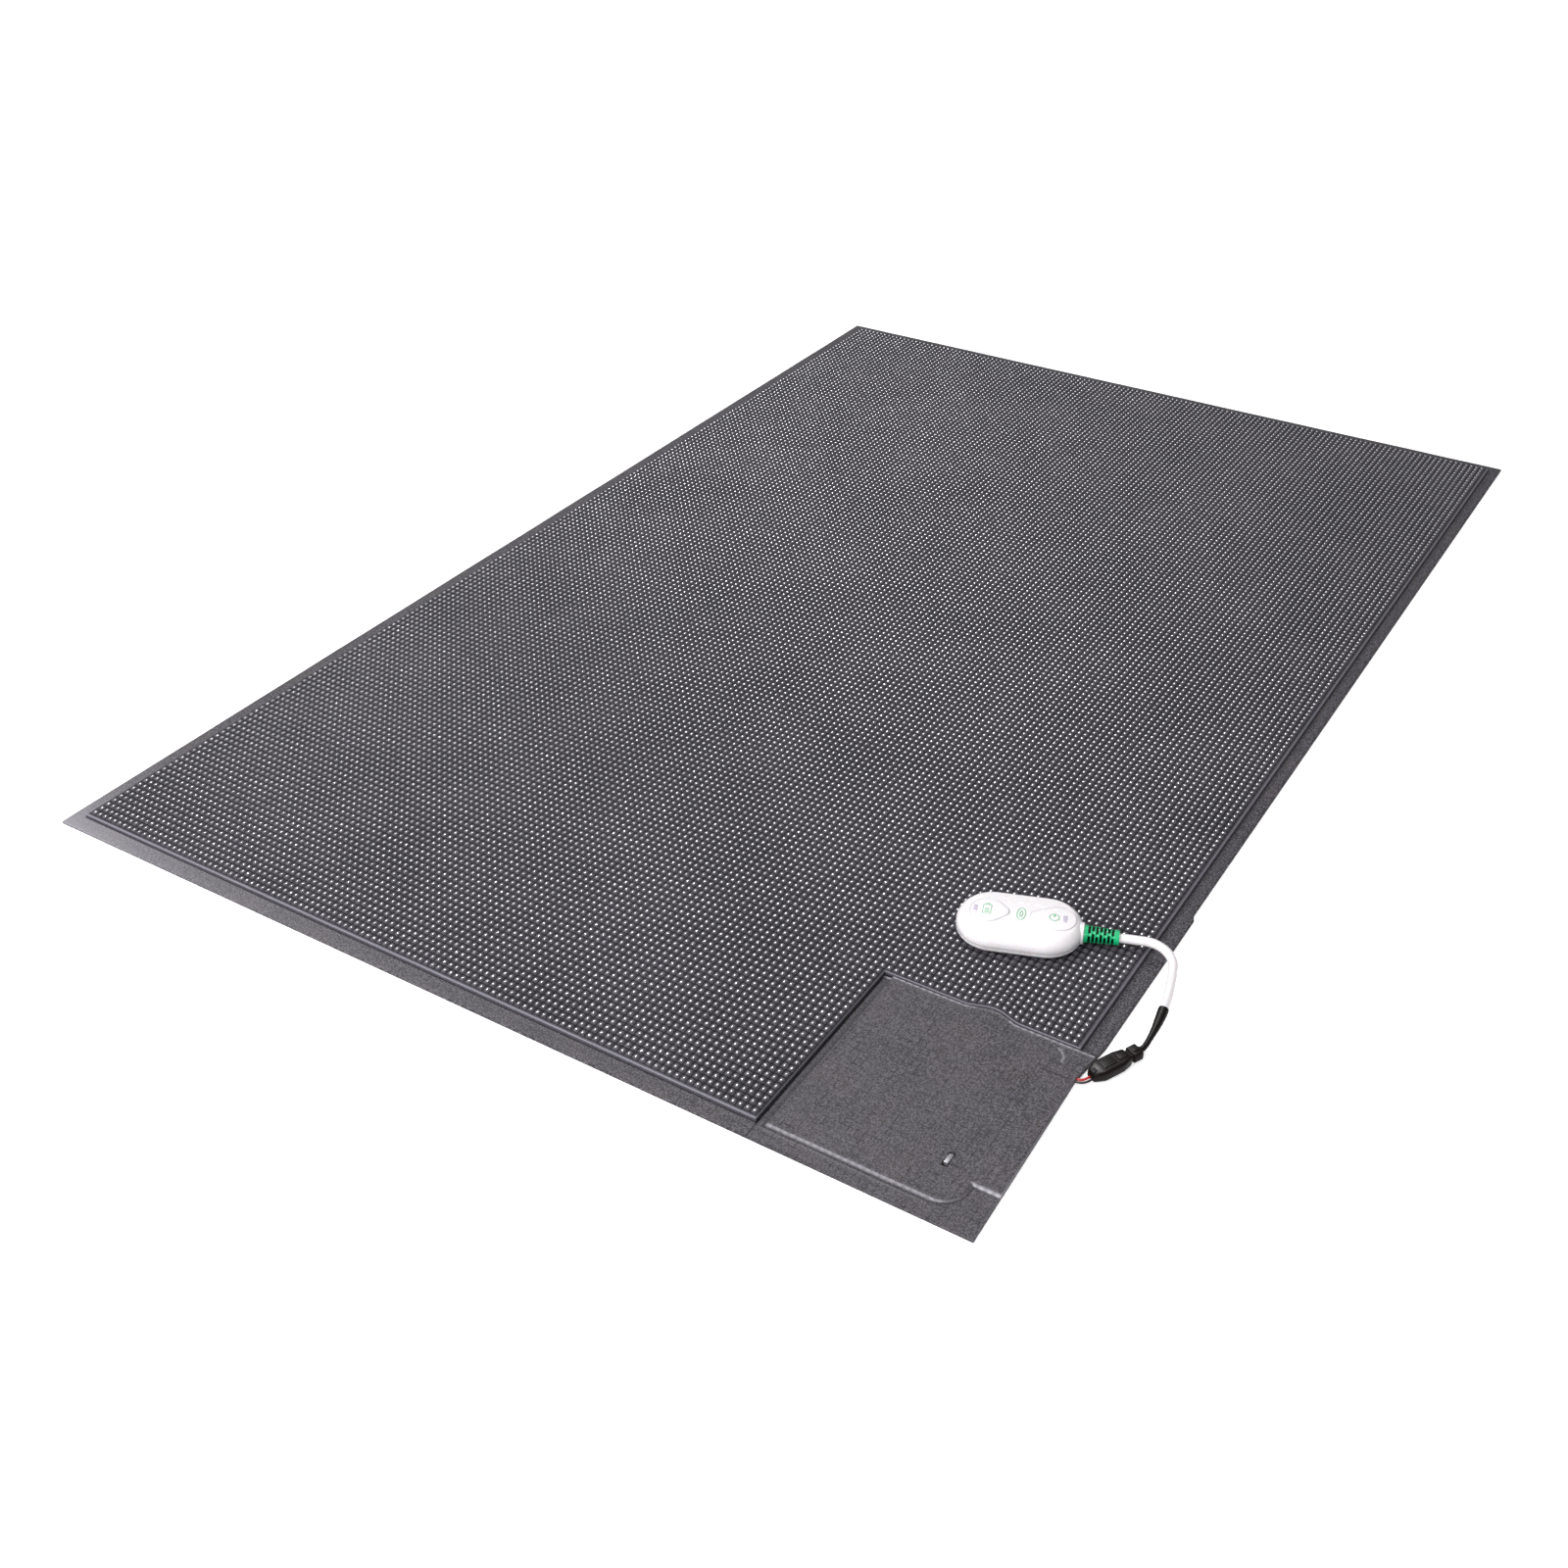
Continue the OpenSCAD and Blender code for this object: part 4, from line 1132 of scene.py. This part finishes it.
def surface_band(name, outline, width, height):
    """A closed raised line that follows the case."""
    section = ((-1, -LINE_ROOT), (-1, 0), (-0.5, height), (0.5, height), (1, 0), (1, -LINE_ROOT))
    rings = []
    count = len(outline)
    for k, (u, v) in enumerate(outline):
        before, after = outline[k - 1], outline[(k + 1) % count]
        along = Vector((after[0] - before[0], after[1] - before[1])).normalized()
        ring = []
        for side, rise in section:
            a = u + along.y * side * width / 2
            b = v - along.x * side * width / 2
            ring.append((a, b, case_surface(a, b) + rise))
        rings.append(ring)
    return loft(name, rings, POD, loop=True)


def oval(width, height, steps=36):
    turns = np.linspace(0, 2 * math.pi, steps, endpoint=False)
    return [(width / 2 * math.cos(t), height / 2 * math.sin(t)) for t in turns]


def make_prints():
    """Plain signs: a battery by one light, a ring by the other, an upright oval between them."""
    signs = (
        (rounded_rect(4.4, 7.4, 0.6, 3), BATTERY_U, 0), (rounded_rect(1.8, 0.9, 0.2, 2), BATTERY_U, 4.4),
        (rounded_rect(2.0, 0.7, 0.2, 2), BATTERY_U, -2.0), (rounded_rect(2.0, 0.7, 0.2, 2), BATTERY_U, 0),
        (oval(5.2, 5.2), RING_U, 0), (rounded_rect(0.6, 1.8, 0.2, 2), RING_U, 1.5),
        (oval(4.6, 9.6), OVAL_U, 0), (oval(1.4, 5.0), OVAL_U, 0),
    )
    parts = []
    for outline, u, v in signs:
        moved = [(u + a, v + b) for a, b in outline]
        parts.append(surface_band("print", moved, PRINT_W, PRINT_H))
    dress(join("case_signs", parts), "pod_top", "print_green")


def drop_outline(centre, tip, steps=64, tip_steps=9):
    """Points round a teardrop: the long way round its big circle, and a short arc round its tip."""
    way = math.copysign(1, tip - centre)
    open_half = math.acos((DROP_R - DROP_TIP_R) / abs(tip - centre))
    big = np.linspace(open_half, 2 * math.pi - open_half, steps)
    small = np.linspace(-open_half, open_half, tip_steps)
    points = [(centre + way * DROP_R * math.cos(t), DROP_R * math.sin(t)) for t in big]
    return points + [(tip + way * DROP_TIP_R * math.cos(t), DROP_TIP_R * math.sin(t)) for t in small]


def make_pads():
    """The thin raised line round each teardrop pad, a little greyer than the case as painted shade."""
    outlines = (drop_outline(*DROP_LEFT), drop_outline(*DROP_RIGHT))
    parts = [surface_band("pad", outline, PAD_LINE_W, PAD_LINE_H) for outline in outlines]
    dress(join("case_pads", parts), "pod_top", "case_line")


def make_windows():
    """Rounded lenses that stand very slightly above the case."""
    for node in ("window_battery", "window_status"):
        lo, hi = local_box(node, POD)
        u, v = (lo.x + hi.x) / 2, (lo.y + hi.y) / 2
        rings = []
        for inset, rise in LENS_SECTION:
            width, height = hi.x - lo.x - 2 * inset, hi.y - lo.y - 2 * inset
            ring = []
            for a, b in rounded_rect(width, height, min(0.7, width / 2 - 0.02), 5):
                top = case_surface(u + a, v + b)
                ring.append((u + a, v + b, lo.z if rise is None else top + rise))
            rings.append(ring)
        stand_in(loft(node.replace("window", "lens"), rings, POD), node)


# ---- Strain relief and cable ----

BOOT_L = BOOT_HI.x - BOOT_LO.x
BOOT_R = BOOT_HI.y
BOOT_TIP_R = 4.2
BOOT_BORE_R = 2.6
BOOT_STEPS = 150
# Length of the plain ring at its root, and how much smaller the ribs are than that
ROOT_RING = 1.2
ROOT_STEP = 0.12
# Gaps between the ribs: where the first one is, their spacing and their width
GAP_COUNT = 7
GAP_START = 2.9
GAP_PITCH = 2.1
GAP_W = 1.2
GROOVE_DEPTH = 0.2
# Each gap is cut deeper in four slots, turned a little one way and then the other
SLOT_DEPTH = 1.4
SLOT_HALF = math.radians(33)
SLOT_TURN = math.radians(9)
# A face this far under the skin is part of a slot, and gets the slot's painted shade
SLOT_SEEN = 0.6


def boot_skin(x):
    return BOOT_R + (BOOT_TIP_R - BOOT_R) * x / BOOT_L


def boot_radius(x, r, angle):
    """Tapered, with a shallow groove at each gap and four deep slots in it."""
    index = round((x - GAP_START) / GAP_PITCH)
    if not 0 <= index < GAP_COUNT:
        return r
    across = abs(x - GAP_START - index * GAP_PITCH) / (GAP_W / 2)
    quarter = math.pi / 2
    turned_by = (angle + SLOT_TURN * (1 if index % 2 else -1)) % quarter
    around = min(turned_by, quarter - turned_by) / SLOT_HALF
    depth = float(ease(1.3, 0.7, across))
    deep = SLOT_DEPTH * depth * float(ease(1.1, 0.9, around))
    return r - max(GROOVE_DEPTH * depth, deep)


def make_boot():
    section = [(0, BOOT_R - 0.9), (0, BOOT_R - 0.2), (0.15, BOOT_R)]
    for k in range(1, BOOT_STEPS):
        x = BOOT_L * k / BOOT_STEPS
        section.append((x, BOOT_R if x < ROOT_RING else boot_skin(x) - ROOT_STEP))
    section += [(BOOT_L - 0.1, BOOT_TIP_R - 0.25), (BOOT_L, BOOT_TIP_R - 0.6)]
    section += [(BOOT_L, BOOT_BORE_R + 0.1), (BOOT_L - 1, BOOT_BORE_R)]
    axis = cable_axis(BOOT_LO.x)
    piece = turned("strain_boot", section, axis, boot_radius, 96, 50)
    stand_in(piece, "strain_relief")
    inverse = axis.inverted()

    def in_slot(point):
        here = inverse @ point
        return 1 < here.x < BOOT_L - 1 and math.hypot(here.y, here.z) < boot_skin(here.x) - SLOT_SEEN

    # Painted shade: the faces deep in the slots are dark green
    paint(piece, "boot_slot", in_slot)


CABLE_R = 2.55
CABLE_PATH = ((13, 0), (16.5, -90), (160, -11.4))
SLEEVE_PATH = ((160, -8.6), (14, -25))
# How far the cable reaches into the strain relief, and the sleeve back over the cable
CABLE_INSIDE = 4
SLEEVE_OVERLAP = 1.5
SLEEVE_END_R = 1.6


def bends_place():
    """Frame of the cable's bends: origin at the strain relief's tip, tilted down to the plug."""
    axis = cable_axis(BOOT_HI.x)
    end = path_poses((0, 0, 0), CABLE_PATH + SLEEVE_PATH)[-1]
    drop = axis.translation.z - PLUG.translation.z
    return axis @ Matrix.Rotation(math.asin(drop / -end[1]), 4, "X")


def cable_shape(share, angle):
    return CABLE_R + 0.03 * wander(share * 60, math.cos(angle), 4, 5)


def sleeve_shape(share, angle):
    taper = CABLE_R + 0.3 + (SLEEVE_END_R - CABLE_R - 0.3) * float(ease(0.02, 0.75, share))
    creases = 0.07 * wander(share * 60, angle * 2, 3, 6) + 0.05 * math.sin(share * 70 + math.sin(angle))
    return taper + creases


def make_cable():
    place = bends_place()
    *bends, last = CABLE_PATH
    poses = path_poses((-CABLE_INSIDE, 0, 0), ((CABLE_PATH[0][0] + CABLE_INSIDE, 0), *CABLE_PATH[1:]))
    stand_in(tube("cable", poses, place, cable_shape, 28), "cable_jacket")
    first, *others = SLEEVE_PATH
    back = math.degrees(SLEEVE_OVERLAP / first[0])
    start = path_poses((0, 0, 0), (*bends, (last[0], last[1] + back)))[-1]
    poses = path_poses(start, ((first[0], first[1] - back), *others), 0.5)
    stand_in(tube("cable_end_sleeve", poses, place, sleeve_shape, 24), "cable_sleeve")


# ---- Plug and socket ----

HEAD_H = 5.6
GRIP_W = 0.5
GRIP_AT = (1.2, 2.3, 3.4, 4.5)
# The socket's open mouth, and the ribs on its flanks, from its near end
MOUTH_W = 6.95
MOUTH_H = 4.3
MOUTH_SPARE = 0.4
RIB_W = 0.7
RIB_AT = (7, 9, 11, 13, 15)


def make_plug():
    """Cable outlet, head, neck, tongue, the catch on top and a keel, then the grip ribs."""
    width = HEAD_HI.y - HEAD_LO.y
    bars = [
        (-1.4, 1.0, 4.4, 4.0, 1.6, 0.5),
        (0, 5.75, width, HEAD_H, 1.2, 0.5),
        (5.0, 9.4, 6.2, 4.2, 1.0, 0.3),
        (8.0, HEAD_HI.x, 6.7, 4.1, 0.6, 0.4),
        (0.8, 4.8, 3.0, 1.2, 0.4, 0.35, HEAD_H / 2),
        (-0.2, 7.4, 1.8, 0.8, 0.3, 0.3, 0.3 - HEAD_H / 2),
    ]
    bars += [(x, x + GRIP_W, width + 0.35, HEAD_H - 1.4, 1.0, 0.15) for x in GRIP_AT]
    stand_in(soft_bars("plug", bars, PLUG), "plug_housing")


def make_socket():
    """Body from the end of its mouth, round the lip and back to the leads, with ribs on its flanks
    and raised bars on top."""
    x0, x1 = SOCKET_LO.x, SOCKET_HI.x
    width, height = SOCKET_HI.y - SOCKET_LO.y, SOCKET_HI.z - SOCKET_LO.z
    mouth_end = HEAD_HI.x + MOUTH_SPARE
    sections = [
        (mouth_end, MOUTH_W - 0.4, MOUTH_H - 0.4, 0.6, 0),
        (mouth_end, MOUTH_W, MOUTH_H, 0.6, 0),
        (x0 + 0.2, MOUTH_W, MOUTH_H, 0.6, 0),
        (x0, MOUTH_W + 0.2, MOUTH_H + 0.2, 0.7, 0),
        (x0, 7.6, height - 0.9, 1.2, 0),
        (x0 + 0.3, 8.0, height - 0.3, 1.4, 0),
        (x0 + 0.8, 8.4, height, 1.4, 0),
        (x0 + 4.6, width - 0.5, height, 1.6, 0),
        (x0 + 5.6, width, height, 1.6, 0),
        (x1 - 5.8, width, height, 1.6, 0),
        (x1 - 4.8, width - 0.5, height - 0.1, 1.6, 0),
        (x1 - 0.9, 6.9, height - 0.9, 1.6, -0.3),
        (x1 - 0.3, 6.4, height - 1.5, 1.4, -0.4),
        (x1, 5.6, height - 2.2, 1.1, -0.5),
    ]
    trims = [(x0 + x, x0 + x + RIB_W, width + 0.3, height - 1.6, 0.9, 0.2) for x in RIB_AT]
    trims += [
        (x0 + 1.5, x0 + 6.5, 4.2, 0.9, 0.4, 0.3, height / 2),
        (x0 + 8.5, x1 - 6.5, 5.2, 0.7, 0.4, 0.3, height / 2),
        (x1 - 4.4, x1 - 0.2, 3.2, 0.7, 0.3, 0.25, height / 2 - 0.75),
    ]
    body = loft("body", bar_rings(sections), PLUG)
    stand_in(join("socket", [body, soft_bars("trims", trims, PLUG)]), "socket_housing")


# ---- CAD nodes that stay ----

# Contacts are plated with gold, whatever metal their slot names
GOLD_NODES = ("socket_pins", "plug_contacts", "battery_plates")


def dress_nodes():
    for name, slot in SLOT_OF.items():
        materials = frame["nodes"][name].data.materials
        materials.clear()
        materials.append(MATERIALS["gold_pins" if name in GOLD_NODES else slot])


# ---- Stage, in metres ----

WHITE = (1, 1, 1, 1)
CAMERA_AT = Vector((0.5301, -0.9299, 0.6299))
CAMERA_LOOK = Vector((-0.4157, 0.6966, -0.5848))
CAMERA_LENS = 40.5
CAMERA_SHIFT = -0.051
# A big soft lamp over the near left corner, and a small one beyond the mat that only makes glints
LAMP_AT = Vector((-0.45, -1.1, 1.05))
LAMP_SIZE = 1.2
LAMP_POWER = 22
GLINT_FROM = Vector((-0.42, 0.345, 0.846))
GLINT_POWER = 6.0
GLINT_WIDTH = math.radians(5)
# A weaker lamp from the viewer's side
FILL_FROM = Vector((0.16, -0.82, 0.45))
FILL_POWER = 1.0
FILL_WIDTH = math.radians(4)
# Height of a direction on the sky, and the sky's strength there
LOW_SKY = (0.25, 0.15)
HIGH_SKY = (0.75, 0.65)
FLOOR_GLOW = 0.5
FLOOR_HALF = 12
FLOOR_Z = -0.0002
# The pale background that the camera sees behind the floor
BACKDROP = 0.9


def aim(thing, direction):
    """Turns the back of a lamp or camera to a direction."""
    thing.rotation_euler = direction.to_track_quat("Z", "Y").to_euler()


def make_camera():
    camera = add_object("camera", bpy.data.cameras.new("camera"))
    camera.location = CAMERA_AT
    aim(camera, -CAMERA_LOOK)
    camera.data.lens = CAMERA_LENS
    camera.data.shift_x = CAMERA_SHIFT
    bpy.context.scene.camera = camera


def add_sun(name, direction, power, width):
    sun = add_object(name, bpy.data.lights.new(name, "SUN"))
    aim(sun, direction)
    sun.data.energy = power
    sun.data.angle = width
    return sun


def make_lamps():
    lamp = add_object("lamp", bpy.data.lights.new("lamp", "AREA"))
    lamp.location = LAMP_AT
    aim(lamp, LAMP_AT)
    lamp.data.energy = LAMP_POWER
    lamp.data.size = LAMP_SIZE
    add_sun("glint", GLINT_FROM, GLINT_POWER, GLINT_WIDTH).visible_diffuse = False
    add_sun("fill", FILL_FROM, FILL_POWER, FILL_WIDTH)


def make_sky():
    """Brighter overhead than low down, and one pale tone where the camera sees it."""
    sh = Shader("sky", "worlds")
    climb = sh.part(sh.add("TexCoord", output="Generated"), "Z")
    light = sh.remap(climb, LOW_SKY[0], HIGH_SKY[0], LOW_SKY[1], HIGH_SKY[1])
    strength = sh.remap(sh.add("LightPath", output="Is Camera Ray"), 0, 1, light, BACKDROP)
    bpy.context.scene.world = sh.end(sh.add("Background", WHITE, strength), "OutputWorld")


def make_floor():
    mesh = bpy.data.meshes.new("floor")
    corners = [(x * FLOOR_HALF, y * FLOOR_HALF, 0) for x, y in ((-1, -1), (1, -1), (1, 1), (-1, 1))]
    mesh.from_pydata(corners, [], [(0, 1, 2, 3)])
    floor = add_object("floor", mesh)
    floor.location.z = FLOOR_Z
    glow = {"Emission_Color": WHITE, "Emission_Strength": FLOOR_GLOW}
    pale = Shader("floor").finish((0.92, 0.92, 0.92, 1), 0.9, Specular_IOR_Level=0.1, **glow)
    floor.data.materials.append(pale)


make_tread()
make_rim()
make_panel()
make_tie()
make_case_top()
make_collar()
make_windows()
make_prints()
make_pads()
make_boot()
make_cable()
make_plug()
make_socket()
dress_nodes()
make_camera()
make_lamps()
make_sky()
make_floor()
bpy.context.scene.view_settings.view_transform = "Standard"
